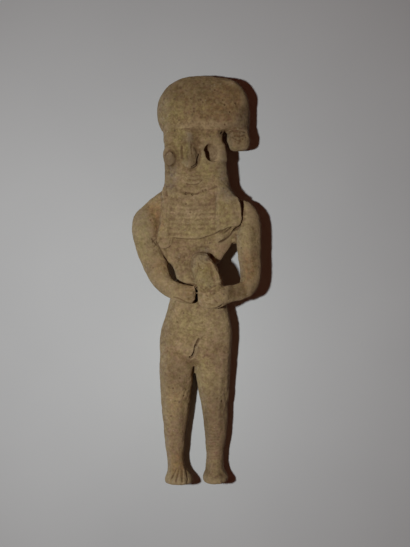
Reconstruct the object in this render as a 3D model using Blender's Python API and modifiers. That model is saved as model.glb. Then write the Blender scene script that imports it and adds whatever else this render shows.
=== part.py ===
"""A hand-modelled terracotta figure with a broad headdress, holding a small form in front of it.

The figure lies on its back, as a loose thing that can't stand alone. X runs across it, +Y towards
the top of the headdress and +Z from the back to the front. The origin is in the middle of its
outline, on the surface that it lies on. It is one piece of fired clay, so it is one object.

Its forms are lofted bodies, rolled coils and pellets that overlap, as clay pressed together does.
They are fused to one skin, the skin is carved, and then it is reduced to a light faceted solid.
The tables are in millimetres on a figure of the real length, and grow and shrink with it.
"""

import math

import bmesh
import bpy
import numpy as np
from mathutils import Matrix, Vector

# Driving sizes, in metres
FIGURE_LENGTH = 0.180
BACK_FLAT_DEPTH = 0.0008
SKIN_DETAIL = 0.0006

NAME = "terracotta_figure"

# What the tables are written in: a millimetre on a figure 180 mm long
MM = FIGURE_LENGTH / 180

# The middle of the figure's outline, seen from the front, where the tables put it
MIDDLE = (0.09 * MM, 0.50 * MM)

# How finely the forms are drawn before they are fused, and how light the finished solid is
RING_SPACING = 1.2
RING_POINTS = 40
SKIN_SMOOTHING_ROUNDS = 3
SOLID_TRIANGLES = 8600

CLAY_COLOUR = (0.42, 0.32, 0.20, 1.0)
CLAY_ROUGHNESS = 0.92

# Lofted bodies: place along Y, the edges at -X and +X, the back, the height where the body is
# widest, and the front
HEADDRESS = (
    (90.6, -1.5, 5.5, 6.4, 8.4, 10.4),
    (90.2, -4.6, 10.1, 4.4, 8.4, 12.6),
    (89.5, -7.1, 13.1, 3.0, 8.4, 14.4),
    (88.5, -9.1, 15.7, 2.0, 8.4, 15.8),
    (86.8, -11.8, 18.5, 1.0, 8.4, 17.3),
    (84.3, -14.2, 20.6, 0.3, 8.4, 18.5),
    (81.6, -16.3, 22.0, 0.0, 8.5, 19.3),
    (78.7, -17.4, 22.9, -0.1, 8.6, 19.8),
    (75.6, -17.8, 23.4, -0.2, 8.6, 20.1),
    (72.3, -17.5, 23.6, -0.1, 8.6, 20.3),
    (68.8, -16.4, 23.6, 0.2, 8.6, 20.3),
    (67.0, -15.8, 23.4, 1.2, 8.6, 19.9),
    (65.8, -15.3, 22.8, 3.0, 8.6, 18.2),
)
HAIR_BUNCH = (
    (66.8, 13.9, 22.7, 6.0, 11.0, 16.0),
    (63.7, 13.5, 23.5, 5.2, 11.0, 17.0),
    (61.2, 13.3, 23.8, 5.0, 11.0, 17.2),
    (59.0, 13.8, 23.5, 5.2, 11.0, 16.8),
    (57.8, 14.7, 22.5, 6.4, 11.0, 15.6),
    (57.2, 16.5, 20.5, 8.4, 11.0, 13.4),
)
HEAD = (
    (70.8, -12.9, 11.0, 3.0, 14.0, 18.6),
    (66.1, -14.7, 11.6, 2.8, 15.0, 19.6),
    (62.5, -14.7, 11.6, 2.8, 15.4, 20.0),
    (59.9, -14.1, 11.9, 2.8, 15.6, 20.2),
    (57.2, -14.0, 12.4, 2.8, 15.8, 20.3),
    (54.1, -14.2, 12.8, 2.8, 15.8, 20.4),
    (51.1, -14.2, 13.2, 2.8, 15.6, 20.4),
    (48.5, -13.8, 13.5, 2.8, 15.4, 20.3),
    (44.2, -13.8, 14.1, 2.7, 14.6, 20.0),
    (40.8, -14.4, 15.2, 2.5, 13.4, 19.0),
    (37.8, -16.0, 16.4, 2.3, 12.4, 18.4),
    (34.0, -17.0, 17.0, 2.2, 12.0, 17.6),
)
TRUNK = (
    (41.6, -13.0, 14.1, 4.0, 11.0, 15.5),
    (39.7, -15.3, 15.7, 3.0, 10.6, 16.4),
    (38.0, -17.7, 16.9, 2.3, 10.4, 17.0),
    (36.0, -20.5, 19.1, 1.8, 10.4, 17.5),
    (34.0, -22.9, 21.3, 1.3, 10.4, 17.9),
    (31.6, -24.1, 22.7, 0.9, 10.4, 18.2),
    (26.1, -20.6, 22.1, 0.6, 11.0, 18.5),
    (20.2, -18.5, 18.4, 0.6, 12.2, 18.5),
    (16.6, -16.9, 15.9, 1.0, 13.6, 18.3),
    (13.6, -15.6, 13.8, 1.6, 14.4, 18.2),
    (10.9, -13.9, 12.0, 2.2, 14.4, 18.0),
    (8.8, -12.7, 10.8, 2.6, 13.8, 17.6),
    (5.6, -10.9, 7.6, 2.8, 11.0, 16.9),
    (3.0, -10.0, 7.4, 2.9, 10.0, 16.7),
    (0.3, -9.4, 8.0, 2.9, 9.8, 17.0),
    (-4.1, -10.5, 10.0, 2.5, 9.8, 17.3),
    (-7.2, -11.8, 12.0, 2.0, 9.9, 17.7),
    (-10.8, -12.7, 13.5, 1.4, 10.0, 18.2),
    (-15.2, -13.7, 14.6, 0.7, 9.6, 18.4),
    (-19.6, -15.3, 15.5, 0.2, 9.4, 18.4),
    (-24.1, -16.3, 15.8, 0.0, 9.2, 18.2),
    (-28.5, -16.6, 15.6, 0.0, 9.1, 17.7),
    (-32.3, -16.3, 15.3, 0.6, 9.0, 16.6),
    (-34.9, -14.7, 13.7, 2.2, 9.2, 15.0),
    (-36.1, -11.7, 10.9, 4.6, 9.0, 12.6),
)
RIGHT_LEG = (
    (-26.2, -14.9, 0.6, 1.4, 9.0, 15.8),
    (-33.0, -16.4, 0.2, 0.6, 8.8, 16.8),
    (-37.4, -16.6, -0.8, 1.0, 8.6, 16.8),
    (-40.6, -16.5, -1.6, 1.0, 8.5, 16.6),
    (-46.3, -16.3, -2.0, 1.1, 8.3, 16.1),
    (-53.0, -15.9, -2.6, 1.2, 8.0, 15.3),
    (-62.1, -15.1, -3.9, 1.4, 7.5, 14.2),
    (-71.1, -14.1, -5.0, 1.8, 7.1, 12.8),
    (-77.8, -13.3, -5.8, 2.1, 6.9, 12.3),
    (-80.9, -13.0, -5.5, 1.7, 7.4, 13.2),
    (-83.2, -13.0, -4.6, 1.4, 8.0, 15.0),
    (-85.2, -13.4, -3.3, 1.0, 8.5, 16.9),
    (-86.6, -14.1, -2.2, 0.8, 9.4, 18.8),
    (-88.1, -14.3, -1.6, 0.9, 9.6, 19.4),
    (-89.0, -13.8, -1.7, 1.2, 9.6, 18.2),
    (-89.6, -12.3, -3.0, 2.8, 9.4, 15.2),
)
LEFT_LEG = (
    (-26.2, -1.6, 14.5, 1.4, 9.0, 15.8),
    (-33.0, -1.2, 15.3, 0.6, 8.8, 16.8),
    (-37.4, -0.8, 15.1, 1.0, 8.6, 16.8),
    (-40.6, -0.4, 15.0, 1.0, 8.5, 16.6),
    (-46.3, 0.4, 14.7, 1.1, 8.3, 16.1),
    (-53.0, 1.5, 14.3, 1.2, 8.0, 15.3),
    (-62.1, 2.9, 13.8, 1.4, 7.5, 14.2),
    (-71.1, 3.9, 12.8, 1.8, 7.1, 12.8),
    (-77.8, 4.3, 12.0, 2.1, 6.9, 12.3),
    (-81.3, 4.2, 11.9, 1.7, 7.4, 13.2),
    (-83.6, 4.1, 12.4, 1.4, 8.0, 15.0),
    (-85.6, 3.3, 13.3, 1.0, 8.5, 16.9),
    (-86.3, 2.8, 14.1, 0.8, 9.4, 18.6),
    (-87.7, 2.7, 14.2, 1.0, 9.6, 19.0),
    (-88.7, 3.2, 13.8, 1.3, 9.6, 17.8),
    (-89.4, 4.8, 12.3, 3.0, 9.4, 14.8),
)
HELD_HEAD = (
    (12.4, 0.7, 3.6, 18.0, 20.8, 23.0),
    (11.8, -0.9, 5.2, 15.0, 21.4, 25.0),
    (9.5, -2.4, 6.6, 13.0, 21.8, 26.6),
    (6.9, -2.8, 7.2, 13.0, 22.0, 27.0),
    (4.0, -2.1, 7.2, 13.0, 21.6, 26.4),
    (1.6, -0.5, 6.2, 14.0, 20.6, 24.6),
)
HELD_BODY = (
    (8.5, 3.4, 7.2, 15.0, 20.6, 24.0),
    (6.6, 0.9, 8.8, 13.0, 21.8, 26.4),
    (3.9, -1.5, 9.8, 12.0, 23.0, 27.8),
    (0.4, -1.3, 10.9, 12.0, 23.4, 28.2),
    (-2.2, -0.1, 11.6, 12.0, 23.2, 27.8),
    (-4.8, 0.7, 10.9, 13.0, 22.0, 26.2),
    (-6.8, 2.1, 8.9, 14.0, 20.2, 23.4),
)
NOSE = (
    (64.7, -4.7, -1.3, 15.0, 17.0, 20.2),
    (61.8, -5.2, -0.7, 15.0, 17.0, 21.2),
    (58.9, -5.8, 0.1, 15.0, 17.0, 22.6),
    (55.9, -6.3, 0.9, 15.0, 17.0, 24.2),
    (53.0, -6.6, 1.4, 15.0, 17.0, 25.4),
    (50.6, -6.3, 0.9, 15.0, 17.0, 25.9),
    (49.3, -5.2, -0.1, 16.0, 18.0, 25.4),
    (48.5, -4.2, -1.1, 17.0, 19.0, 23.4),
)

# How square each body's section is: 2 is an ellipse
SQUARENESS = {
    "headdress": 2.3,
    "bunch": 2.6,
    "head": 2.5,
    "trunk": 2.6,
    "leg": 2.1,
    "held form": 2.1,
    "nose": 1.6,
}

# Rolled coils of the arms: (across, along, up, radius)
RIGHT_ARM = (
    (-19.7, 29.9, 11.1, 5.0),
    (-22.0, 26.9, 12.7, 5.7),
    (-22.6, 22.8, 13.9, 5.9),
    (-21.7, 17.0, 14.5, 5.7),
    (-19.8, 11.2, 14.9, 5.5),
    (-17.6, 6.0, 15.7, 5.3),
    (-15.7, 1.5, 17.1, 4.8),
    (-12.9, -2.1, 18.9, 4.0),
    (-9.2, -4.2, 20.7, 3.8),
    (-5.6, -5.4, 21.9, 4.1),
    (-3.2, -5.8, 22.3, 4.3),
    (-1.1, -5.8, 22.1, 3.9),
)
LEFT_ARM = (
    (17.5, 31.8, 10.3, 4.3),
    (20.1, 31.3, 11.3, 4.8),
    (22.3, 28.0, 12.7, 5.4),
    (22.9, 23.8, 13.9, 5.6),
    (22.9, 18.0, 14.5, 5.7),
    (23.1, 12.7, 14.5, 5.4),
    (23.5, 8.0, 14.7, 5.0),
    (23.7, 3.6, 15.1, 4.6),
    (23.4, -0.2, 15.9, 4.3),
    (21.8, -3.5, 17.5, 4.0),
    (18.6, -4.9, 19.3, 3.7),
    (14.8, -5.4, 21.1, 3.7),
    (11.0, -6.6, 22.7, 4.2),
    (7.2, -7.6, 23.5, 4.6),
    (4.2, -7.7, 23.5, 4.4),
    (2.0, -7.6, 22.7, 3.5),
)

# Pellets: (across, along, up) and the three radii
EYE_PELLET = ((-11.5, 52.7, 18.9), (2.8, 3.3, 2.8))
EYE_LID = ((-11.4, 54.4, 18.0), (3.5, 5.2, 2.3))
RIGHT_BREAST = ((-13.9, 17.6, 16.4), (3.8, 3.8, 2.2))
LEFT_BREAST = ((9.8, 18.4, 16.8), (3.2, 3.2, 2.2))

# The empty left socket: its middle, its radii and how far it is turned to face the cheek
EYE_SOCKET = ((7.3, 55.8, 20.6), (3.2, 4.3, 6.5))
EYE_SOCKET_TURN = math.radians(30)

# Outlines across the front, drawn round, that stand proud of it
COLLAR = (
    (-13.5, 41.5), (-14.6, 36.9), (-14.6, 33.0), (-15.2, 28.7), (-15.9, 24.3), (-16.7, 19.2),
    (-11.2, 18.6), (-5.8, 18.4), (-0.6, 18.4), (3.7, 19.4), (7.0, 20.4), (10.3, 22.0), (14.9, 23.1),
    (17.4, 24.1), (17.8, 28.2), (17.5, 31.7), (16.3, 34.7), (15.5, 37.5), (13.9, 40.5), (8.8, 41.1),
    (3.4, 38.9), (-0.9, 37.9), (-5.8, 38.1), (-10.6, 40.1),
)
RIGHT_LAPPET = (
    (-13.9, 45.4), (-14.9, 36.9), (-14.9, 33.0), (-15.5, 28.7), (-16.3, 24.3), (-17.3, 19.4),
    (-13.1, 19.0), (-11.8, 26.7), (-11.2, 35.6), (-11.4, 45.4),
)
LEFT_LAPPET = (
    (9.3, 42.8), (8.8, 38.5), (8.9, 29.6), (9.1, 21.7), (10.9, 22.5), (14.4, 23.5), (17.4, 23.7),
    (19.4, 24.7), (20.2, 27.0), (20.1, 30.6), (19.6, 33.9), (18.0, 36.7), (15.4, 38.8),
    (13.3, 40.8), (11.3, 42.4),
)
LIPS = (
    (-5.6, 43.9), (-4.4, 45.0), (-1.4, 44.9), (1.2, 45.4), (2.9, 44.3), (1.8, 42.2), (-1.2, 41.4),
    (-4.4, 42.2),
)
PUBIS = (
    (3.9, -24.5), (1.7, -26.1), (0.5, -28.1), (-0.1, -30.4), (-0.7, -32.4), (-2.3, -33.8),
    (-4.4, -33.6), (-7.2, -30.4), (-9.8, -25.5), (-11.2, -21.1), (0.1, -20.6), (4.6, -22.2),
)
COLLAR_HEIGHT = 0.8
LAPPET_HEIGHT = 0.6
PUBIS_HEIGHT = 1.5
LIPS_HEIGHT = 0.6
PROUD_EDGE = 0.4
PUBIS_FADE_BELOW = -31.0
PUBIS_FADE_ABOVE = -24.5

# The slab of the left lappet is laid on top of the chest and shoulder, between these heights
SLAB_BOTTOM = 12.0
SLAB_TOP = 19.7

# Lines drawn in the wet clay: width and depth, then the points of each
CHIN_LINE = (1.4, 0.8, ((-7.8, 38.8), (-5.2, 38.0), (-1.0, 37.9), (3.3, 38.5), (8.8, 41.0)))
MOUTH_LINE = (1.1, 0.7, ((-5.2, 43.9), (-3.2, 43.5), (-0.9, 43.4), (2.0, 44.1)))
BROW_LINE = (1.2, 0.4, ((-10.7, 65.1), (-5.8, 65.7), (0.1, 65.5), (7.9, 64.9)))
NOSE_CREASE = (1.4, 1.0, ((1.9, 55.7), (1.7, 53.3), (1.2, 51.0), (0.0, 48.8), (-2.6, 47.7)))
LAPPET_CREASE = (
    1.5,
    1.2,
    ((18.9, 36.1), (20.4, 33.6), (20.9, 30.4), (20.9, 26.9), (20.0, 24.0), (17.3, 22.6)),
)
CHEST_FOLD = (1.4, 0.8, ((14.8, 21.2), (13.4, 18.9), (11.1, 17.1)))
CLEFT_LINE = (2.4, 1.2, ((-0.6, -17.0), (-0.8, -26.0), (-0.8, -36.0)))

# The strands of the necklace, the toes and the fingers are rows of such lines
NECKLACE_STRANDS = 7
NECKLACE_TOP = 33.4
NECKLACE_BOTTOM = 20.6
NECKLACE_SIDES = (-11.2, 8.4)
NECKLACE_SAG = 0.5
STRAND_WIDTH = 1.2
STRAND_DEPTH = 0.4
TOE_GAPS = 4
TOE_WIDTH = 1.0
TOE_DEPTH = 0.6
FINGER_GAPS = 3
FINGER_WIDTH = 1.0
FINGER_DEPTH = 0.5

# Where the lines of each row of toes or fingers start and end: the two ends of the row, each time
RIGHT_TOES = (((-10.6, -82.4), (-4.4, -82.4)), ((-12.6, -88.6), (-2.4, -88.6)))
LEFT_TOES = (((6.0, -83.6), (11.2, -83.6)), ((4.6, -88.6), (12.8, -88.6)))
RIGHT_FINGERS = (((-5.2, -3.0), (-5.2, -9.0)), ((0.6, -2.8), (0.6, -9.4)))
LEFT_FINGERS = (((6.6, -4.6), (6.6, -11.4)), ((0.6, -5.2), (0.6, -11.0)))


def clear_scene():
    """Empties the scene, so that the script can be run again."""
    for old in list(bpy.data.objects):
        bpy.data.objects.remove(old)


def monotone_slopes(places, values):
    """Slopes at each place for a curve through the values that never overshoots them."""
    steps = np.diff(places)
    rises = np.diff(values) / steps
    slopes = np.empty_like(values)
    slopes[0], slopes[-1] = rises[0], rises[-1]
    for i in range(1, len(values) - 1):
        if rises[i - 1] * rises[i] <= 0:
            slopes[i] = 0
            continue
        before = 2 * steps[i] + steps[i - 1]
        after = steps[i] + 2 * steps[i - 1]
        slopes[i] = (before + after) / (before / rises[i - 1] + after / rises[i])
    return slopes


def smooth_through(places, values, at):
    """The values of a smooth curve through (places, values), read where at says."""
    slopes = monotone_slopes(places, values)
    i = np.clip(np.searchsorted(places, at, side="right") - 1, 0, len(places) - 2)
    step = places[i + 1] - places[i]
    t = (at - places[i]) / step
    return (
        values[i] * (1 + 2 * t) * (1 - t) ** 2
        + slopes[i] * step * t * (1 - t) ** 2
        + values[i + 1] * t**2 * (3 - 2 * t)
        + slopes[i + 1] * step * t**2 * (t - 1)
    )


def between(stations, spacing):
    """A table's stations with more of them between, read from smooth curves through its columns."""
    table = np.array(stations, float)[::-1]
    places = table[:, 0]
    count = max(2, math.ceil((places[-1] - places[0]) / spacing))
    at = np.unique(np.concatenate([np.linspace(places[0], places[-1], count + 1), places]))
    columns = [smooth_through(places, table[:, c], at) for c in range(1, table.shape[1])]
    return zip(at, *columns)


def ring(along, low_x, high_x, back, widest, front, squareness):
    """Points of one section across the body, a rounded box or an ellipse."""
    points = []
    for i in range(RING_POINTS):
        angle = 2 * math.pi * i / RING_POINTS
        across, up = math.cos(angle), math.sin(angle)
        across = math.copysign(abs(across) ** (2 / squareness), across)
        up = math.copysign(abs(up) ** (2 / squareness), up)
        points.append(
            (
                (low_x + high_x) / 2 + across * (high_x - low_x) / 2,
                along,
                widest + up * ((front - widest) if up > 0 else (widest - back)),
            )
        )
    return points


def loft(clay, stations, squareness):
    """Adds a closed body whose sections change along the figure to the clay."""
    rings = [
        [clay.verts.new(Vector(p) * MM) for p in ring(*station, squareness)]
        for station in between(stations, RING_SPACING)
    ]
    faces = []
    for near, far in zip(rings, rings[1:]):
        for i in range(RING_POINTS):
            j = (i + 1) % RING_POINTS
            faces.append(clay.faces.new((near[i], far[i], far[j], near[j])))
    faces.append(clay.faces.new(rings[0]))
    faces.append(clay.faces.new(rings[-1][::-1]))
    bmesh.ops.recalc_face_normals(clay, faces=faces)


def roll(clay, points):
    """Adds a rolled coil of clay, a tube that thickens and thins along its way."""
    curve = bpy.data.curves.new("coil", "CURVE")
    curve.dimensions = "3D"
    curve.bevel_depth = MM
    curve.bevel_resolution = 6
    curve.resolution_u = 5
    curve.use_fill_caps = True
    spline = curve.splines.new("BEZIER")
    spline.bezier_points.add(len(points) - 1)
    spline.radius_interpolation = "CARDINAL"
    for point, (across, along, up, radius) in zip(spline.bezier_points, points):
        point.co = Vector((across, along, up)) * MM
        point.radius = radius
        point.handle_left_type = point.handle_right_type = "AUTO"
    coil = bpy.data.objects.new("coil", curve)
    bpy.context.scene.collection.objects.link(coil)
    clay.from_mesh(finished_mesh(coil))
    bmesh.ops.remove_doubles(clay, verts=clay.verts, dist=0.001 * MM)
    bpy.data.objects.remove(coil)


def lay(clay, outline, bottom, top):
    """Adds a slab of clay with this outline, seen from the front."""
    lower = [clay.verts.new(Vector((x, y, bottom)) * MM) for x, y in rounded_outline(outline)]
    bottom_face = clay.faces.new(lower)
    made = bmesh.ops.extrude_face_region(clay, geom=[bottom_face])
    upper = [item for item in made["geom"] if isinstance(item, bmesh.types.BMVert)]
    bmesh.ops.translate(clay, verts=upper, vec=(0, 0, (top - bottom) * MM))
    bmesh.ops.recalc_face_normals(clay, faces=list({face for v in lower + upper for face in v.link_faces}))


def press(clay, pellet):
    """Adds a pellet of clay, a ball pressed to three radii."""
    centre, radii = pellet
    placed = Matrix.Translation(Vector(centre) * MM) @ Matrix.Diagonal((*(Vector(radii) * MM), 1))
    bmesh.ops.create_uvsphere(clay, u_segments=28, v_segments=18, radius=1, matrix=placed)


def finished_mesh(thing):
    """The object's mesh with its modifiers applied."""
    bpy.context.view_layer.update()
    evaluated = thing.evaluated_get(bpy.context.evaluated_depsgraph_get())
    return bpy.data.meshes.new_from_object(evaluated)


def fuse(clay, home):
    """Presses the overlapping forms together: one object with one smooth skin."""
    rough = bpy.data.meshes.new("clay")
    clay.to_mesh(rough)
    clay.free()
    figure = bpy.data.objects.new(NAME, rough)
    home.objects.link(figure)
    skin = figure.modifiers.new("skin", "REMESH")
    skin.mode = "VOXEL"
    skin.voxel_size = SKIN_DETAIL
    wipe = figure.modifiers.new("wet wipe", "SMOOTH")
    wipe.factor = 0.5
    wipe.iterations = SKIN_SMOOTHING_ROUNDS
    figure.data = finished_mesh(figure)
    figure.modifiers.clear()
    return figure


def rounded_outline(outline, points_between=4):
    """A closed outline drawn smoothly through its points."""
    corners = np.array(outline, float)
    drawn = []
    for i in range(len(corners)):
        before, start, end, after = (corners[(i + k) % len(corners)] for k in (-1, 0, 1, 2))
        bend = 2 * before - 5 * start + 4 * end - after
        twist = 3 * start - before - 3 * end + after
        for t in np.arange(points_between) / points_between:
            drawn.append(start + 0.5 * ((end - before) * t + bend * t**2 + twist * t**3))
    return np.array(drawn)


def distance_to(points, line, closed=False):
    """How far each point is from a line of straight pieces, both seen from the front."""
    line = np.array(line, float)
    ends = np.roll(line, -1, axis=0) if closed else line[1:]
    starts = line if closed else line[:-1]
    nearest = np.full(len(points), np.inf)
    for start, end in zip(starts, ends):
        way = end - start
        share = np.clip((points - start) @ way / (way @ way), 0, 1)
        nearest = np.minimum(nearest, np.linalg.norm(points - start - share[:, None] * way, axis=1))
    return nearest


def depth_inside(points, outline):
    """How far inside a closed outline each point is, below zero outside it."""
    inside = np.zeros(len(points), bool)
    for (ax, ay), (bx, by) in zip(outline, np.roll(outline, -1, axis=0)):
        if ay == by:
            continue
        crosses = (ay > points[:, 1]) != (by > points[:, 1])
        inside ^= crosses & (points[:, 0] < ax + (points[:, 1] - ay) * (bx - ax) / (by - ay))
    return np.where(inside, 1, -1) * distance_to(points, outline, closed=True)


def eased(share):
    """0 below 0, 1 above 1, and a smooth rise between."""
    share = np.clip(share, 0, 1)
    return share * share * (3 - 2 * share)


def groove(points, width, depth, line):
    """How deep a line drawn in the clay is at each point."""
    return -depth * eased(1.5 * (1 - distance_to(points, line) / (width / 2)))


def plate(points, outline, height, edge=PROUD_EDGE):
    """How far a flat pad with this outline stands up at each point."""
    return height * eased(0.5 + depth_inside(points, rounded_outline(outline)) / (2 * edge))


def necklace_strands():
    """The lines between the strands of the necklace, which sag a little in the middle."""
    left, right = NECKLACE_SIDES
    for row in range(NECKLACE_STRANDS):
        along = NECKLACE_TOP + (NECKLACE_BOTTOM - NECKLACE_TOP) * row / (NECKLACE_STRANDS - 1)
        yield [
            (left + (right - left) * share, along - NECKLACE_SAG * math.sin(math.pi * share))
            for share in np.linspace(0, 1, 7)
        ]


def fan(gaps, starts, ends):
    """Lines that spread like toes, from points along one row to points along another."""
    for gap in range(gaps):
        share = (gap + 0.5) / gaps
        yield [Vector(row[0]).lerp(Vector(row[1]), share) for row in (starts, ends)]


def front_relief(points):
    """How far the front is raised or cut at each point, seen from the front, in millimetres."""
    relief = plate(points, COLLAR, COLLAR_HEIGHT)
    relief += plate(points, RIGHT_LAPPET, LAPPET_HEIGHT)
    fade = eased((PUBIS_FADE_ABOVE - points[:, 1]) / (PUBIS_FADE_ABOVE - PUBIS_FADE_BELOW))
    relief += plate(points, PUBIS, PUBIS_HEIGHT) * fade
    relief += plate(points, LIPS, LIPS_HEIGHT)
    for line in (CHIN_LINE, MOUTH_LINE, BROW_LINE, NOSE_CREASE, LAPPET_CREASE, CHEST_FOLD):
        relief += groove(points, *line)
    for strand in necklace_strands():
        relief += groove(points, STRAND_WIDTH, STRAND_DEPTH, strand)
    for row in (RIGHT_TOES, LEFT_TOES):
        for line in fan(TOE_GAPS, *row):
            relief += groove(points, TOE_WIDTH, TOE_DEPTH, line)
    for row in (RIGHT_FINGERS, LEFT_FINGERS):
        for line in fan(FINGER_GAPS, *row):
            relief += groove(points, FINGER_WIDTH, FINGER_DEPTH, line)
    return relief


def carve(figure):
    """Moves the skin of the front and the back by the relief that is drawn on each."""
    mesh = figure.data
    places = np.empty(len(mesh.vertices) * 3, np.float32)
    mesh.vertices.foreach_get("co", places)
    places = places.reshape(-1, 3).astype(float)
    normals = np.empty(len(mesh.vertices) * 3, np.float32)
    mesh.vertex_normals.foreach_get("vector", normals)
    normals = normals.reshape(-1, 3).astype(float)
    seen = places[:, :2] / MM
    facing_front = eased((normals[:, 2] - 0.15) / 0.45)
    facing_back = eased((-normals[:, 2] - 0.15) / 0.45)
    lift = front_relief(seen) * facing_front + groove(seen, *CLEFT_LINE) * facing_back
    places += normals * (lift * MM)[:, None]
    mesh.vertices.foreach_set("co", places.astype(np.float32).ravel())
    mesh.update()


def cutter_from(name, cutters, build):
    """A hidden mesh object for a cut, made by a bmesh call."""
    shape = bmesh.new()
    build(shape)
    mesh = bpy.data.meshes.new(name)
    shape.to_mesh(mesh)
    shape.free()
    cutter = bpy.data.objects.new(name, mesh)
    cutter.hide_render = True
    cutter.display_type = "WIRE"
    cutters.objects.link(cutter)
    return cutter


def scoop_socket(figure, cutters):
    """Scoops out the eye socket that has lost its pellet."""
    centre, radii = EYE_SOCKET
    scoop = cutter_from(
        "eye_socket",
        cutters,
        lambda shape: bmesh.ops.create_uvsphere(
            shape,
            u_segments=32,
            v_segments=20,
            radius=1,
            matrix=Matrix.Diagonal((*(Vector(radii) * MM), 1)),
        ),
    )
    scoop.location = Vector(centre) * MM
    scoop.rotation_euler = (0, EYE_SOCKET_TURN, 0)
    cut = figure.modifiers.new("eye socket", "BOOLEAN")
    cut.operation = "DIFFERENCE"
    cut.object = scoop


def lighten(figure):
    """Reduces the skin to a light faceted solid that keeps its forms."""
    triangles = sum(len(face.vertices) - 2 for face in figure.data.polygons)
    facets = figure.modifiers.new("facets", "DECIMATE")
    facets.ratio = min(1.0, SOLID_TRIANGLES / triangles)


def flatten_back(figure, cutters):
    """Cuts the back flat where the wet figure lay on the board it dried on."""
    board = cutter_from(
        "drying_board", cutters, lambda shape: bmesh.ops.create_cube(shape, size=1)
    )
    board.data.transform(Matrix.Diagonal((FIGURE_LENGTH, 2 * FIGURE_LENGTH, FIGURE_LENGTH / 10, 1)))
    board.location = (0, 0, BACK_FLAT_DEPTH - FIGURE_LENGTH / 20)
    cut = figure.modifiers.new("flat back", "BOOLEAN")
    cut.operation = "DIFFERENCE"
    cut.object = board


def rest(figure, cutters):
    """Puts the middle of the figure's outline at the origin, and its flat back on the ground."""
    down = Vector((-MIDDLE[0], -MIDDLE[1], -BACK_FLAT_DEPTH))
    for thing in (figure, *cutters.objects):
        thing.location += down


def clay_material():
    """Plain fired clay."""
    material = bpy.data.materials.new("terracotta")
    material.use_nodes = True
    shader = material.node_tree.nodes["Principled BSDF"]
    shader.inputs["Base Color"].default_value = CLAY_COLOUR
    shader.inputs["Roughness"].default_value = CLAY_ROUGHNESS
    shader.inputs["Metallic"].default_value = 0.0
    return material


def collection(name):
    """A new collection in the scene."""
    made = bpy.data.collections.new(name)
    bpy.context.scene.collection.children.link(made)
    return made


def build():
    """Makes the figure from the back to the front, and then cuts it."""
    clear_scene()
    parts = collection("terracotta figure")
    cutters = collection("cutters")
    clay = bmesh.new()
    loft(clay, HEADDRESS, SQUARENESS["headdress"])
    loft(clay, HAIR_BUNCH, SQUARENESS["bunch"])
    loft(clay, HEAD, SQUARENESS["head"])
    loft(clay, NOSE, SQUARENESS["nose"])
    loft(clay, TRUNK, SQUARENESS["trunk"])
    loft(clay, RIGHT_LEG, SQUARENESS["leg"])
    loft(clay, LEFT_LEG, SQUARENESS["leg"])
    roll(clay, RIGHT_ARM)
    roll(clay, LEFT_ARM)
    loft(clay, HELD_HEAD, SQUARENESS["held form"])
    loft(clay, HELD_BODY, SQUARENESS["held form"])
    lay(clay, LEFT_LAPPET, SLAB_BOTTOM, SLAB_TOP)
    for pellet in (EYE_PELLET, EYE_LID, RIGHT_BREAST, LEFT_BREAST):
        press(clay, pellet)
    figure = fuse(clay, parts)
    carve(figure)
    scoop_socket(figure, cutters)
    figure.data = finished_mesh(figure)
    figure.modifiers.clear()
    lighten(figure)
    flatten_back(figure, cutters)
    rest(figure, cutters)
    figure.data.materials.append(clay_material())
    figure.data.shade_smooth()


build()
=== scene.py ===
# %% [markdown]
# A terracotta figure lying on its back
#
# The real thing is a solid figure that someone pressed together from wet clay, drew on with a
# stick and fired. It has lain in the ground since, so its skin is worn, pitted and stained.
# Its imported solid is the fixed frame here, and this lesson gives that solid its finer skin.

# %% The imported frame
import itertools
import math

import bpy
import numpy as np
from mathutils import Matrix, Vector


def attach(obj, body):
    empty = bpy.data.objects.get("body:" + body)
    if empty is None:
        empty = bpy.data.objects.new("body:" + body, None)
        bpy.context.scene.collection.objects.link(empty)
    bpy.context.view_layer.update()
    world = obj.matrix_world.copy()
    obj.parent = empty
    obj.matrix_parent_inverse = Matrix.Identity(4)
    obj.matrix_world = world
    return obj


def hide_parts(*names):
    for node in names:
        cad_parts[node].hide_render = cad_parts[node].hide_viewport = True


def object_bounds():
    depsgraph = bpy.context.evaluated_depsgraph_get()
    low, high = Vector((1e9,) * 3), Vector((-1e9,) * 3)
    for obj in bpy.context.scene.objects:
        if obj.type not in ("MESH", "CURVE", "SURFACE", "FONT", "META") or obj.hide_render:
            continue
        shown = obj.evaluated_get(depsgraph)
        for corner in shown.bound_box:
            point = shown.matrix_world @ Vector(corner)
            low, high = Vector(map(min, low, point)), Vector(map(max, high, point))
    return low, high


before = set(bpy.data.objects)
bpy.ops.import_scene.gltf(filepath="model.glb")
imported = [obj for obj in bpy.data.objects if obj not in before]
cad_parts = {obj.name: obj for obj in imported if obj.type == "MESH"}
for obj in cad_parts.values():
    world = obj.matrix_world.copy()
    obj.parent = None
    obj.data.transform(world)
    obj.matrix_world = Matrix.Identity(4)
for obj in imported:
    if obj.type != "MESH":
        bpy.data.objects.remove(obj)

cad_box = [list(corner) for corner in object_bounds()]
print("nodes:", sorted(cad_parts), "box:", cad_box)

# %% [markdown]
# The camera
#
# The figure was photographed from straight above, from about half a metre away. A camera that
# looks straight down needs no turning: in Blender an unturned camera looks along -Z. The lens is
# worked out from how much of the scene the picture's height takes in.

# %% A camera straight above
CAMERA_PLACE = (0.0036, 0.0027, 0.4617)
SEEN_HEIGHT = 0.2424
SEEN_DISTANCE = 0.4525
SENSOR = 24.0

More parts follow.
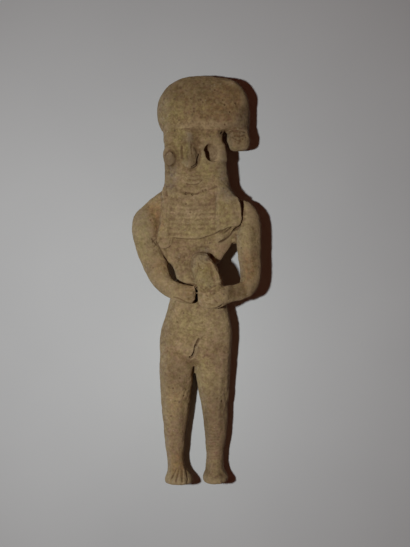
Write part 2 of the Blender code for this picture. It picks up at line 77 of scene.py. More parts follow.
bpy.ops.object.camera_add(location=CAMERA_PLACE, rotation=(0, 0, 0))
camera = bpy.context.object
camera.name = "camera_above"
camera.data.sensor_fit = "VERTICAL"
camera.data.sensor_height = SENSOR
camera.data.lens = SENSOR * SEEN_DISTANCE / SEEN_HEIGHT
camera.data.clip_start = 0.01
bpy.context.scene.camera = camera
print("lens:", round(camera.data.lens, 1), "mm")

# %% [markdown]
# The light
#
# One lamp to the left of the camera lights the figure, and its shadow falls to the right. A small
# area lamp gives a shadow whose edge softens a little with distance, and a dim warm world stands
# for the light that the room sends back into the shadows.

# %% One lamp and a dim room
LAMP_PLACE = (-0.150, -0.004, 0.460)
LAMP_TARGET = (-0.002, -0.030, 0.0)
LAMP_SIZE = 0.024
LAMP_SPREAD = math.radians(100)
LAMP_POWER = 0.404
ROOM_LIGHT = (0.046, 0.0115, 0.0066, 1.0)

bpy.ops.object.light_add(type="AREA", location=LAMP_PLACE)
lamp = bpy.context.object
lamp.name = "lamp"
lamp.data.shape = "DISK"
lamp.data.size = LAMP_SIZE
lamp.data.energy = LAMP_POWER
lamp.data.spread = LAMP_SPREAD
lamp.rotation_euler = (Vector(LAMP_TARGET) - Vector(LAMP_PLACE)).to_track_quat("-Z", "Y").to_euler()

world = bpy.data.worlds.new("room")
world.use_nodes = True
world.node_tree.nodes["Background"].inputs["Color"].default_value = ROOM_LIGHT
bpy.context.scene.world = world
bpy.context.scene.view_settings.view_transform = "Standard"
print("lamp to floor:", round(LAMP_PLACE[2], 3), "m")

# %% [markdown]
# Small helpers for nodes
#
# A procedural material is a graph of nodes. These helpers add a node and fill its inputs, each with
# a value or with what another node puts out, so that each recipe below reads as a short list.


# %% Adding nodes
def fill(tree, socket, value):
    """Sets an input socket to a number or a colour, or links another node's output to it."""
    if isinstance(value, bpy.types.NodeSocket):
        tree.links.new(value, socket)
    else:
        socket.default_value = value


def add_node(tree, kind, **values):
    """Adds a node. A value goes to the input of that name, or else to the node's own setting."""
    node = tree.nodes.new("ShaderNode" + kind)
    for name, value in values.items():
        label = name.replace("_", " ").title()
        if label in node.inputs:
            fill(tree, node.inputs[label], value)
        else:
            setattr(node, name, value)
    return node


def new_material(name, roughness):
    """A material with one Principled BSDF."""
    material = bpy.data.materials.new(name)
    material.use_nodes = True
    shader = material.node_tree.nodes["Principled BSDF"]
    shader.inputs["Roughness"].default_value = roughness
    return material, material.node_tree, shader


# %% [markdown]
# The floor
#
# The figure lies on a plain pale board. One large plane is enough, with a faint unevenness in its
# grey so that it doesn't look like paper cut out by the computer.

# %% A plain pale board
FLOOR_SIZE = 1.6
BOARD_PALE = (0.602, 0.636, 0.640, 1.0)
BOARD_DULL = (0.570, 0.603, 0.608, 1.0)

bpy.ops.mesh.primitive_plane_add(size=FLOOR_SIZE, location=(0, 0, 0))
floor = bpy.context.object
floor.name = "floor"

board, tree, shader = new_material("pale_board", 0.62)
place = add_node(tree, "TexCoord").outputs["Object"]
cloud = add_node(tree, "TexNoise", vector=place, scale=9.0, detail=3.0)
tone = add_node(tree, "ValToRGB", fac=cloud.outputs["Fac"])
tone.color_ramp.elements[0].position = 0.35
tone.color_ramp.elements[0].color = BOARD_DULL
tone.color_ramp.elements[1].position = 0.65
tone.color_ramp.elements[1].color = BOARD_PALE
fill(tree, shader.inputs["Base Color"], tone.outputs["Color"])
floor.data.materials.append(board)
print("floor:", FLOOR_SIZE, "m")

# %% [markdown]
# The clay to work on
#
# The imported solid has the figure's forms in a few thousand facets. Its mesh stays as it is, and a
# copy is worked on: its loose triangles are merged, Subdivision Surface rounds the facets, and a
# voxel Remesh gives an even skin, fine enough to draw on. A sculptor would do the same by hand.


# %% A fine even skin
NODE = "terracotta_figure"
SKIN_GRAIN = 0.0003
MERGE = 0.00001
MM = 0.001


def choose_only(thing):
    """Deselects everything, and makes this the selected and active object."""
    for other in list(bpy.context.selected_objects):
        other.select_set(False)
    thing.select_set(True)
    bpy.context.view_layer.objects.active = thing


def apply(thing, kind, **settings):
    """Gives the object a modifier with these settings, and applies it."""
    choose_only(thing)
    modifier = thing.modifiers.new(kind.title(), kind)
    for name, value in settings.items():
        setattr(modifier, name, value)
    bpy.ops.object.modifier_apply(modifier=modifier.name)


def in_edit_mode(thing, *steps):
    """Runs edit mode operators, each a function with no arguments, on the whole mesh."""
    choose_only(thing)
    bpy.ops.object.mode_set(mode="EDIT")
    bpy.ops.mesh.select_all(action="SELECT")
    for step in steps:
        step()
    bpy.ops.object.mode_set(mode="OBJECT")


figure = bpy.data.objects.new("clay_figure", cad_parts[NODE].data.copy())
bpy.context.collection.objects.link(figure)
in_edit_mode(figure, lambda: bpy.ops.mesh.remove_doubles(threshold=MERGE))
apply(figure, "SUBSURF", levels=2, render_levels=2)
apply(figure, "SMOOTH", factor=0.5, iterations=6)
print("rounded copy:", len(figure.data.polygons), "faces")

# %% [markdown]
# Bits of clay pressed on
#
# The eye, the right breast and the lips are little balls and a roll of clay that were pressed on.
# Clay fills both armpits too, and the ends of the hands are squared off. Each bit is a primitive,
# flattened in edit mode where it stands on the skin, and the Remesh below presses them all into
# one body. To find the skin, a ray is cast straight down on it.


# %% Where the skin is
def skin_at(x, y):
    """The height of the skin at a place seen from the front, all in millimetres."""
    hit, spot, _, _ = figure.ray_cast(Vector((x * MM, y * MM, 1)), Vector((0, 0, -1)))
    return spot.z / MM if hit else 0.0


bits = []


def pressed_on(name, x, y, width, length, height, sink=0.0, z=None, turn=0.0):
    """Flattens the active primitive, one unit in radius, and stands it on the skin or at height z."""
    bit = bpy.context.object
    bit.name = name
    z = skin_at(x, y) - sink if z is None else z
    in_edit_mode(
        bit,
        lambda: bpy.ops.transform.resize(value=(width * MM / 2, length * MM / 2, height * MM)),
        lambda: bpy.ops.transform.rotate(
            value=-math.radians(turn), orient_axis="Z", center_override=(0, 0, 0)
        ),
        lambda: bpy.ops.transform.translate(value=(x * MM, y * MM, z * MM)),
    )
    bits.append(bit)
    return bit


# %% Balls, tablets and a roll
def ball(name, *where, **more):
    """A pellet of clay."""
    bpy.ops.mesh.primitive_uv_sphere_add(segments=32, ring_count=18, radius=1)
    return pressed_on(name, *where, **more)


def tablet(name, *where, **more):
    """An upright tablet of clay with steep sides."""
    bpy.ops.mesh.primitive_cylinder_add(vertices=32, radius=1, depth=2)
    return pressed_on(name, *where, **more)


def roll_ring(name, thickness, *where, **more):
    """A thin roll of clay laid in a ring."""
    bpy.ops.mesh.primitive_torus_add(
        major_segments=48, minor_segments=12, major_radius=1, minor_radius=thickness
    )
    return pressed_on(name, *where, **more)


ball("eye_pellet", -11.6, 52.4, 4.8, 7.2, 0.7, sink=0.35)
ball("right_breast", -14.0, 16.9, 6.6, 6.8, 0.7, sink=0.2)
roll_ring("lips", 0.18, -1.7, 43.1, 7.6, 2.9, 1.3, sink=0.2)
ball("right_armpit", -15.9, 13.8, 4.4, 10.5, 2.4, z=14.9, turn=26.6)
ball("left_armpit", 16.2, 17.6, 3.8, 3.6, 4.0, z=11.5)
tablet("left_fingertips", 1.4, -6.6, 2.0, 8.4, 4.4, z=20.2)
tablet("right_knuckles", -1.3, -5.7, 2.1, 6.4, 4.2, z=20.0)
print("bits pressed on:", [bit.name for bit in bits])

# %% [markdown]
# The gap inside the right elbow
#
# The bent right arm stands off the waist by a narrow gap, too deep for a drawn line. A tablet as
# long and wide as the gap is cut out of the clay with a Boolean modifier, and then taken away.

# %% A deep narrow cut
gap = tablet("right_elbow_gap", -10.9, 3.6, 2.3, 8.8, 13.0, z=17.5, turn=22.0)
bits.remove(gap)
apply(figure, "BOOLEAN", operation="DIFFERENCE", solver="EXACT", object=gap)
bpy.data.objects.remove(gap)
print("after the cut:", len(figure.data.polygons), "faces")

# %% One body again
choose_only(figure)
for bit in bits:
    bit.select_set(True)
bpy.ops.object.join()
apply(figure, "REMESH", mode="VOXEL", voxel_size=SKIN_GRAIN)
apply(figure, "SMOOTH", factor=0.5, iterations=3)
print("even skin:", len(figure.data.polygons), "faces")

# %% [markdown]
# The skin as numbers
#
# From here on the skin is moved point by point, which is what a sculpting brush does. Numpy
# handles all the points at once: `places` holds where they are, in millimetres, and `facing`
# which way each one looks.


# %% Reading and writing the skin
def read_vectors(items, name):
    """One vector attribute of many mesh items, as rows of numbers."""
    flat = np.empty(len(items) * 3, np.float32)
    items.foreach_get(name, flat)
    return flat.reshape(-1, 3).astype(float)


def read_skin():
    """Places in millimetres and normals of all points of the skin."""
    mesh = figure.data
    return read_vectors(mesh.vertices, "co") / MM, read_vectors(mesh.vertex_normals, "vector")


def write_skin(places):
    """Puts the points of the skin at places in millimetres."""
    figure.data.vertices.foreach_set("co", (places * MM).astype(np.float32).ravel())
    figure.data.update()


def move_skin(lift):
    """Moves each point of the skin along its normal, by millimetres."""
    places, facing = read_skin()
    write_skin(places + facing * lift[:, None])


def eased(share):
    """0 below 0, 1 above 1, and a smooth rise between."""
    share = np.clip(share, 0, 1)
    return share * share * (3 - 2 * share)


# %% [markdown]
# Lines drawn in the wet clay
#
# A pointed stick draws a groove, and pushes up or lays down clay beside it. A drawn line is a few
# points in millimetres, seen from the front, with a smooth curve through them. For each point of
# the skin the nearest place on the line gives three numbers: how far away it is, on which side,
# and how far along. A groove, a ridge and a step are then just three profiles of those numbers.


# %% How far from a line
def smooth_line(points, between=5):
    """A smooth curve through the points of a line."""
    points = np.array(points, float)
    ends = (2 * points[0] - points[1], 2 * points[-1] - points[-2])
    padded = np.vstack([ends[0], points, ends[1]])
    drawn = []
    for before, start, end, after in zip(padded, padded[1:], padded[2:], padded[3:]):
        bend = 2 * before - 5 * start + 4 * end - after
        twist = 3 * start - before - 3 * end + after
        for t in np.arange(between) / between:
            drawn.append(start + 0.5 * ((end - before) * t + bend * t**2 + twist * t**3))
    return np.array([*drawn, points[-1]])


def measure(seen, points, reach):
    """Which points lie within reach of a line, and their distance, side and share of its way."""
    line = smooth_line(points)
    low, high = line.min(0) - reach, line.max(0) + reach
    near = np.flatnonzero(((seen > low) & (seen < high)).all(1))
    spots = seen[near]
    steps = np.diff(line, axis=0)
    lengths = np.linalg.norm(steps, axis=1)
    passed = np.concatenate([[0], np.cumsum(lengths)])
    distance = np.full(len(near), np.inf)
    side, share = np.zeros(len(near)), np.zeros(len(near))
    for start, step, length, before in zip(line, steps, lengths, passed):
        t = np.clip((spots - start) @ step / length**2, 0, 1)
        away = spots - start - t[:, None] * step
        far = np.linalg.norm(away, axis=1)
        closer = far < distance
        turn = step[0] * away[:, 1] - step[1] * away[:, 0]
        distance[closer] = far[closer]
        side[closer] = np.sign(turn)[closer]
        share[closer] = (before + t[closer] * length) / passed[-1]
    return near, distance, side, share


# %% [markdown]
# Groove, step and dimple
#
# A shallow line wavers with the hand, in the waves that WAVES gives per millimetre, and a line that
# is DEEP millimetres deep or more is cut with care and doesn't waver. Each mark adds its own depth
# to one list of lifts, and the skin moves only once, so marks that cross don't disturb each other.

# %% Grooves, ridges and steps
FADE = 0.12
WAVER = 0.45
WAVES = (2.3, 1.9)
DEEP = 0.8
GROOVE_FLAT, DIMPLE_FLAT = 1.3, 1.4
STEP_EDGE, STEP_REACH = 0.3, 3
FACING_FROM, FACING_RISE = 0.05, 0.4


def fall_off(away, flat):
    """1 in the middle and 0 from a distance of 1 outwards. A larger flat gives a flatter top."""
    return eased(flat * (1 - away))


def ends_fade(share, fade=FADE):
    """Fades a line out at both of its ends."""
    return eased(share / fade) * eased((1 - share) / fade)


def draw(lift, seen, width, depth, points, fade=FADE):
    """A groove of this width and depth, or a ridge where the depth is below zero."""
    near, distance, _, share = measure(seen, points, width)
    waver = WAVER if depth < DEEP else 0.0
    wavering = 1 - waver * (0.5 + 0.5 * np.sin(seen[near] @ WAVES + len(points)))
    across = fall_off(distance / (width / 2), GROOVE_FLAT)
    lift[near] -= depth * wavering * across * ends_fade(share, fade)


def stand_proud(lift, seen, height, slope, points, fade=FADE):
    """The clay to the left of the line stands higher than the clay to its right."""
    near, distance, side, share = measure(seen, points, STEP_REACH * slope)
    raised = height * np.exp(-((distance / slope) ** 2)) * eased(0.5 + side * distance / STEP_EDGE)
    lift[near] += raised * ends_fade(share, fade)


def dimple(lift, seen, radius, depth, spot):
    """A round hollow, or a bump where the depth is below zero."""
    low, high = np.array(spot) - radius, np.array(spot) + radius
    near = np.flatnonzero(((seen > low) & (seen < high)).all(1))
    away = np.linalg.norm(seen[near] - spot, axis=1) / radius
    lift[near] -= depth * fall_off(away, DIMPLE_FLAT)


def draw_on_front(where, *marks):
    """Makes marks, each a function of (lift, seen), on the skin that faces the front."""
    places, facing = read_skin()
    lift = np.zeros(len(places))
    for mark in marks:
        mark(lift, places[:, :2])
    move_skin(lift * eased((facing[:, 2] - FACING_FROM) / FACING_RISE))
    print("marks on " + where + ":", len(marks))


def grooves(width, depth, *lines, fade=FADE):
    """Marks for several grooves of one width and depth."""
    return [lambda lift, seen, line=line: draw(lift, seen, width, depth, line, fade) for line in lines]


def dimples(radius, depth, *spots):
    """Marks for several dimples of one size."""
    return [lambda lift, seen, spot=spot: dimple(lift, seen, radius, depth, spot) for spot in spots]


def step(height, slope, line, fade=FADE):
    """The mark for one step."""
    return [lambda lift, seen: stand_proud(lift, seen, height, slope, line, fade)]


# %% [markdown]
# Broad brushes
#
# Some forms want a push before any line is drawn on them. One brush drags the skin beside a line,
# one presses a bump flatter, and one smooths: it moves each point towards the middle of its
# neighbours, over and over, as a wet thumb would.


# %% Drag, flatten and smooth
FRONT_FROM, FRONT_RISE = 6.0, 4.0
DRAG_FLAT, PRESS_FLAT, SMOOTH_FLAT = 1.2, 2, 1.6


def on_front(places):
    """1 on the front half of the figure and 0 on the back half."""
    return eased((places[:, 2] - FRONT_FROM) / FRONT_RISE)


def drag(radius, shift, points, fade=0.3):
    """Drags the skin around a line by a shift, less and less towards the radius."""
    places, _ = read_skin()
    near, distance, _, share = measure(places[:, :2], points, radius)
    pull = fall_off(distance / radius, DRAG_FLAT) * ends_fade(share, fade) * on_front(places[near])
    places[near] += pull[:, None] * shift
    write_skin(places)


def press_flatter(middle, radii, level, share):
    """Lowers a bump in an oval towards a level, by a share of its height above it."""
    places, _ = read_skin()
    away = np.hypot(*((places[:, :2] - middle) / radii).T)
    above = np.maximum(places[:, 2] - level, 0)
    places[:, 2] -= above * share * fall_off(away, PRESS_FLAT)
    write_skin(places)


def neighbour_means(places, rounds, amount):
    """The places after each has moved, for some rounds, by its amount to its neighbours' middle."""
    ends = np.empty(len(figure.data.edges) * 2, np.int32)
    figure.data.edges.foreach_get("vertices", ends)
    ends = ends.reshape(-1, 2)
    a, b = ends[(amount[ends] > 0).any(1)].T
    total = len(places)
    count = np.maximum(np.bincount(a, minlength=total) + np.bincount(b, minlength=total), 1)
    for _ in range(rounds):
        sums = np.stack([
            np.bincount(a, places[b, axis], total) + np.bincount(b, places[a, axis], total)
            for axis in range(3)
        ], 1)
        places = places + (amount / 2)[:, None] * (sums / count[:, None] - places)
    return places


def smooth_over(rounds, *spots):
    """Smooths the skin at round spots, each an x, a y and a radius."""
    places, _ = read_skin()
    amount = np.zeros(len(places))
    for x, y, radius in spots:
        away = np.hypot(places[:, 0] - x, places[:, 1] - y) / radius
        amount = np.maximum(amount, fall_off(away, SMOOTH_FLAT))
    write_skin(neighbour_means(places, rounds, amount * on_front(places)))


# %% Where the brushes go
NOSE_OVAL = ((-2.6, 53.6), (5.5, 9.5))
CHEEK_HEIGHT = 19.3
CAP_RIM = (
    (10.0, 89.0), (13.8, 87.9), (17.8, 86.2), (20.4, 83.5), (21.7, 80.0), (22.0, 76.0), (21.8, 73.5),
)
FORM_EDGE = ((5.6, 9.6), (7.2, 7.0), (8.6, 4.2), (9.8, 0.8), (10.6, -2.4))
LAPPET_EDGE = ((17.6, 36.0), (18.9, 33.7), (19.7, 31.1), (20.0, 28.5), (20.1, 26.4), (19.6, 24.0))
SOCKET_EDGE = ((3.7, 59.4), (3.4, 57.4), (3.4, 55.2))
FACE_EDGE = ((11.2, 60.5), (12.2, 57.5), (12.5, 54.0), (12.7, 50.5))
LEFT_FOREARM = ((12.5, -4.0), (16.0, -4.8), (19.5, -5.0), (23.5, -4.0))
LEFT_ARM_FLANK = ((24.5, 28.0), (26.0, 20.0), (26.3, 10.0), (25.8, 0.0), (25.0, -4.0))
LEG_FLANKS = (
    ((-3.0, -42.0), (-4.2, -55.0), (-5.5, -70.0)),
    ((13.6, -38.0), (12.8, -55.0), (11.8, -72.0)),
)
FOOT_SIDES = (
    ((-3.6, -79.0), (-3.0, -84.0), (-2.4, -90.0)),
    ((12.6, -79.0), (13.4, -84.0), (14.0, -90.0)),
)
TEMPLE = (-14.6, 63.6, 3.2)
BELLY_EDGE = ((-10.0, -26.5, 3.0), (-7.8, -29.2, 3.2), (-5.4, -31.8, 3.0), (-3.4, -34.2, 2.4))
CROTCH = (-1.6, -36.6, 2.4)
LAPPET_CORNER = ((10.6, 42.6, 3.2), (12.4, 41.0, 3.2), (14.2, 39.4, 3.2), (16.0, 37.8, 2.6))
FORM_LEFT = ((-2.0, 1.6, 2.6), (-0.6, -0.8, 2.0))
JAW = (-9.6, 38.6, 2.8)
EYE = (-11.0, 52.4, 5.0)
BIB = ((-6.5, 22.0, 8.0), (2.5, 22.0, 8.0), (-6.5, 31.0, 8.0), (2.5, 31.0, 8.0))
BROW = ((-9.0, 66.0, 3.0), (-4.5, 66.0, 3.0), (0.0, 65.5, 3.0), (4.5, 65.2, 3.0), (8.5, 64.8, 3.0))
LEFT_TOES_SPOTS = ((5.5, -86.0, 3.2), (8.5, -86.4, 3.2), (11.5, -86.0, 3.2))
print("highest point before:", round(float(read_skin()[0][:, 2].max()), 2), "mm")

# %% Forms pushed into shape
NOSE_PRESS = 0.30
FLANK_WIDTH = 3.4

press_flatter(*NOSE_OVAL, CHEEK_HEIGHT, NOSE_PRESS)
drag(4.8, (0.3, 0.3, 2.9), CAP_RIM)
drag(2.8, (0.3, 0.0, 2.2), FORM_EDGE, fade=0.15)
drag(2.4, (-0.3, 0.0, 0.0), LAPPET_EDGE, fade=0.15)
drag(2.4, (-0.5, 0.0, 0.0), SOCKET_EDGE, fade=0.15)
drag(2.6, (0.8, 0.0, 0.0), FACE_EDGE, fade=0.2)
drag(5.5, (0.0, 0.0, -1.4), LEFT_FOREARM)
for flank in (LEFT_ARM_FLANK, *LEG_FLANKS):
    drag(FLANK_WIDTH, (0.0, 0.0, -0.8), flank)
    smooth_over(40, *((x, y, FLANK_WIDTH) for x, y in smooth_line(flank, 4)))
for side in FOOT_SIDES:
    drag(3.0, (0.0, 0.0, -0.5), side, fade=0.1)
smooth_over(120, TEMPLE, *BELLY_EDGE, CROTCH, *FORM_LEFT)
smooth_over(350, *LAPPET_CORNER)
smooth_over(30, *BROW, *LEFT_TOES_SPOTS, JAW)
smooth_over(60, EYE)
smooth_over(4, *BIB)
print("highest point now:", round(float(read_skin()[0][:, 2].max()), 2), "mm")

# %% [markdown]
# The head
#
# The headdress ends over the brow in a low roll. The nose was pinched up between two fingers, so
# it has a ridge, a long flank on each side and a sharp lower edge on one side. The lids, the mouth
# and the curl of hair were touched up with the stick.

# %% Headdress and brow
BROW_ROLL = ((-10.2, 66.8), (-5.0, 66.6), (1.5, 66.3), (7.6, 66.1), (13.2, 65.9))
BROW_LINE = ((-7.0, 65.2), (-4.8, 65.6), (-2.6, 65.4))
UNDER_HEADDRESS = ((10.1, 63.5), (11.5, 64.3), (13.7, 64.1), (15.9, 64.8), (18.9, 64.9), (22.0, 64.6))
TEMPLE_MARKS = (((-11.2, 62.8), (-9.1, 61.9)), ((-10.6, 61.0), (-8.7, 60.0)))
HEADDRESS_SCRATCH = ((9.7, 76.9), (11.5, 76.5), (12.8, 75.6))
HEADDRESS_ARC = ((6.3, 72.2), (7.6, 71.1), (9.3, 72.0))

draw_on_front(
    "the headdress",
    *grooves(2.8, -0.22, BROW_ROLL),
    *grooves(0.8, 0.22, BROW_LINE),
    *grooves(1.0, 1.00, UNDER_HEADDRESS, fade=0.05),
    *grooves(0.7, 0.22, *TEMPLE_MARKS, HEADDRESS_SCRATCH),
    *grooves(0.6, 0.12, HEADDRESS_ARC),
)

# %% Nose, eyes and mouth
NOSE_RIDGE_MARK = ((-2.2, 59.0), (-2.3, 56.4), (-2.0, 53.8))
NOSE_RIGHT_FLANK = ((-6.4, 58.4), (-6.5, 55.3), (-6.3, 52.0))
NOSE_EDGE = ((1.0, 55.0), (0.7, 53.5), (0.2, 51.8), (0.1, 50.4), (-0.6, 49.3), (-2.3, 48.1))
CHEEK_RIDGE = ((-7.2, 58.8), (-7.2, 55.3), (-6.9, 51.8))
EYE_SIDE = ((-8.7, 65.3), (-8.7, 59.2), (-8.0, 56.2), (-8.0, 51.8), (-8.9, 49.2))
EYE_TOP = ((-12.8, 57.5), (-11.5, 58.1), (-10.0, 56.8), (-8.7, 54.9))
SOCKET_RIM = ((5.0, 59.6), (3.3, 57.5), (2.9, 55.7), (3.5, 53.4), (4.8, 51.5), (6.3, 50.9))
MOUTH = ((-4.5, 43.1), (-2.8, 43.5), (-1.1, 43.1), (1.1, 43.7))
UNDER_LIP = ((-5.0, 41.8), (-3.2, 41.3), (-1.6, 41.2), (0.4, 41.5), (1.8, 42.6), (2.4, 43.8))
OVER_LIP = ((-5.6, 44.4), (-3.6, 45.2), (-1.4, 44.9), (0.4, 45.3), (2.0, 44.8))

draw_on_front(
    "the face",
    *grooves(0.9, 0.45, NOSE_RIDGE_MARK),
    *grooves(1.0, 0.25, NOSE_RIGHT_FLANK),
    *grooves(1.0, 1.00, NOSE_EDGE),
    *grooves(1.6, -0.08, CHEEK_RIDGE, EYE_SIDE),
    *grooves(1.0, -0.20, EYE_TOP),
    *grooves(0.9, -0.20, SOCKET_RIM),
    *grooves(0.6, 0.16, MOUTH),
    *grooves(0.7, 0.24, UNDER_LIP),
    *grooves(0.6, 0.18, OVER_LIP),
)

# %% Curl of hair
CURL_DOTS = (
    (15.0, 63.5), (16.3, 64.0), (17.6, 63.0), (18.9, 64.1), (20.4, 63.1), (15.4, 62.0),
    (17.2, 61.5), (18.7, 62.0), (16.8, 60.3), (20.0, 61.3), (21.5, 62.2), (14.4, 61.3),
)
CURL_LINES = (
    ((15.3, 62.3), (17.0, 61.1), (18.3, 60.6), (19.6, 61.9)),
    ((16.2, 63.0), (17.9, 62.4), (20.5, 62.8)),
)
draw_on_front("the curl", *dimples(0.5, 0.30, *CURL_DOTS), *grooves(0.7, 0.35, *CURL_LINES))

# %% [markdown]
# Necklace, chest and arms
#
# Strands of a broad necklace are scratched across the chest, nearly level and not quite parallel.
# On each side a lappet of hair hangs down, the left one a slab that stands off the shoulder. The
# clay beside an edge was pushed, so an edge is a step with a groove at its foot.

# %% Neck and necklace
CHIN_LINE = ((-5.6, 37.3), (-3.3, 37.7), (-0.7, 37.3), (1.5, 37.9))
JAW_LINE = ((4.1, 38.8), (6.3, 39.5), (8.9, 40.7))
NECK_SIDE = ((-12.8, 35.9), (-13.3, 38.6), (-12.8, 41.2))
HEM = (
    (-11.5, 18.6), (-8.0, 18.0), (-4.6, 17.7), (-0.7, 17.7), (2.4, 18.1), (4.5, 18.8), (6.3, 19.4),
    (8.4, 20.3), (10.2, 21.4), (11.9, 22.2),
)
STRAND_HEIGHTS = (34.6, 32.7, 31.4, 30.0, 28.7, 27.2, 25.6, 24.1, 22.8, 21.6, 20.4)
STRAND_SIDES = (-12.4, 8.4)
STRAND_WAVER = 0.22
STRAND_SAG = 0.4
STRAND_POINTS = 8
STRAND_ENDS = (-0.3, 1.0)

rng = np.random.default_rng(7)


def strand(height):
    """One scratched line across the chest, drawn by a hand that wavers."""
    left, right = STRAND_SIDES
    start, end = left + rng.uniform(*STRAND_ENDS), right - rng.uniform(*STRAND_ENDS)
    across = np.linspace(start, end, STRAND_POINTS)
    waver = STRAND_WAVER * rng.uniform(-1, 1, STRAND_POINTS)
    sag = STRAND_SAG * np.sin(np.linspace(0, math.pi, STRAND_POINTS))
    return list(zip(across, height + waver - sag))


strands = [strand(height) for height in STRAND_HEIGHTS]
draw_on_front(
    "the neck and necklace",
    *grooves(0.8, 0.25, CHIN_LINE),
    *grooves(0.8, 0.20, JAW_LINE),
    *grooves(1.3, 0.30, NECK_SIDE),
    *grooves(0.7, 0.025, *strands[::2]),
    *grooves(0.6, 0.015, *strands[1::2]),
    *step(0.30, 1.2, HEM),
    *grooves(0.7, 0.35, HEM),
)

# %% Lappets
LEFT_LAPPET_INNER = ((8.7, 41.0), (8.4, 36.7), (8.6, 31.9), (8.7, 26.7), (8.7, 21.1))
LEFT_LAPPET_RIDGE = ((9.6, 40.6), (9.6, 35.4), (9.6, 30.2), (9.7, 25.0), (9.7, 21.5))
LEFT_LAPPET_OUTER = (
    (18.0, 35.5), (19.1, 33.7), (19.5, 31.1), (19.7, 28.5), (19.9, 26.4), (19.5, 24.6), (18.6, 23.3),
)
LEFT_LAPPET_FOOT = ((18.8, 23.9), (16.7, 24.2), (14.5, 24.1), (12.8, 23.3), (11.0, 22.1))
SLASH_UPPER = ((11.9, 20.3), (13.9, 21.6), (15.6, 23.0))
SLASH_LOWER = (
    (19.6, 24.6), (18.4, 23.0), (17.2, 22.2), (16.1, 21.4), (14.6, 19.5), (12.9, 17.9), (11.1, 16.8),
    (9.1, 16.0),
)
LAPPET_FOLD = ((10.2, 44.0), (11.9, 42.1), (14.1, 40.2), (15.8, 38.4))
RIGHT_LAPPET_OUTER = (
    (-14.5, 33.3), (-14.8, 30.3), (-15.4, 27.2), (-16.3, 23.8), (-17.4, 20.7), (-18.2, 18.5),
)
RIGHT_LAPPET_INNER = ((-12.4, 36.3), (-12.8, 32.0), (-13.0, 27.7), (-12.8, 23.3), (-11.7, 19.4))

draw_on_front(
    "the lappets",
    *grooves(0.7, 0.20, LEFT_LAPPET_INNER),
    *grooves(1.5, -0.15, LEFT_LAPPET_RIDGE),
    *grooves(0.8, 0.35, LEFT_LAPPET_OUTER),
    *grooves(0.7, 0.14, LEFT_LAPPET_FOOT),
    *grooves(0.8, 0.70, SLASH_UPPER),
    *grooves(0.9, 0.90, SLASH_LOWER),
    *grooves(0.8, 0.08, LAPPET_FOLD),
    *grooves(0.8, 0.20, RIGHT_LAPPET_OUTER),
    *grooves(0.7, 0.14, RIGHT_LAPPET_INNER),
)

# %% Chest and arms
ELBOW_GAP = ((-12.2, 6.9), (-10.9, 3.6), (-9.6, 0.3))
ARM_CREASE = ((-17.8, 17.3), (-17.0, 15.5), (-15.7, 13.1), (-14.1, 10.3), (-12.8, 8.1), (-12.0, 6.6))
SHOULDER_HATCH = (
    ((-19.6, 18.1), (-16.8, 14.2)),
    ((-19.4, 16.0), (-17.2, 18.4)),
    ((-18.5, 14.2), (-16.1, 16.6)),
)
BREAST_RING = ((-12.0, 20.5), (-11.4, 18.6), (-11.5, 16.2), (-12.6, 14.2), (-14.1, 13.2))
OVER_HELD_FORM = ((-0.7, 13.7), (1.9, 14.3), (4.1, 14.3), (6.1, 14.0))
CHEST_SCRATCH = ((-11.1, 15.1), (-12.4, 12.9), (-11.8, 11.2))

draw_on_front(
    "the chest",
    *grooves(0.8, 0.60, ARM_CREASE),
    *grooves(0.6, 0.40, *SHOULDER_HATCH),
    *grooves(0.8, 0.18, BREAST_RING),
    *grooves(0.8, 0.30, OVER_HELD_FORM),
    *grooves(0.6, 0.15, CHEST_SCRATCH),
)

# %% [markdown]
# The hands and the held form
#
# Both hands meet at a small form held to the belly, too worn to tell what it was. The right fist
# ends in a deep gap beside it. The clay is roughest here, since each piece was pressed over
# another.

# %% Hands and held form
FORM_SIDE = ((-2.8, 4.1), (-2.6, 7.0), (-1.6, 9.6), (0.1, 11.2), (2.7, 11.7), (5.2, 11.0))
FORM_ARCS = (((0.7, 10.0), (2.0, 8.3), (4.1, 7.0), (6.2, 6.8)), ((0.5, 7.6), (1.3, 5.3), (2.8, 4.2)))
FORM_SCRATCHES = (((6.4, 2.5), (7.0, 0.2)), ((7.9, 2.9), (8.8, 0.2)))
FORM_CREASES = (
    ((3.5, -4.3), (5.2, -2.7), (7.3, -1.4)),
    ((5.2, -4.8), (6.9, -3.3), (9.0, -2.4)),
    ((1.1, -3.5), (2.8, -4.1), (4.1, -5.6)),
)
FORM_DOTS = ((2.4, 11.3), (4.1, 11.2), (2.8, -4.5), (4.7, -6.9), (1.3, -0.3))
FIST_GAP = ((0.0, -3.2), (0.1, -5.0), (0.2, -7.3), (-0.2, -8.6), (-0.8, -9.8), (-1.6, -10.3))
FIST_TOP = (
    (-9.3, 0.5), (-8.3, -0.3), (-6.6, -1.2), (-4.9, -1.7), (-2.7, -1.9), (-1.2, -2.0), (-0.4, -2.6),
    (-0.1, -4.0), (0.1, -5.4),
)
FIST_BOTTOM = ((-10.5, -7.2), (-8.0, -8.0), (-5.7, -9.0), (-4.0, -9.8), (-2.3, -10.3))
FIST_FINGERS = (
    ((-3.6, -3.3), (-2.1, -4.1), (-0.7, -4.0)),
    ((-4.0, -5.6), (-2.3, -6.2), (-0.6, -6.0)),
    ((-3.8, -7.9), (-2.3, -8.3), (-0.8, -8.1)),
)
HAND_FINGERS = (
    ((1.3, -4.9), (3.2, -5.2), (5.4, -6.2)),
    ((1.5, -7.3), (3.7, -7.7), (6.2, -8.6)),
    ((2.0, -9.6), (4.1, -10.1), (6.7, -10.6)),
)
HAND_CREASES = (((5.4, -6.4), (5.9, -8.6), (5.6, -10.7)), ((7.5, -8.4), (9.0, -9.6), (10.1, -9.4)))
HAND_NOTCH = ((8.1, -12.4), (9.4, -11.7), (11.0, -10.8))

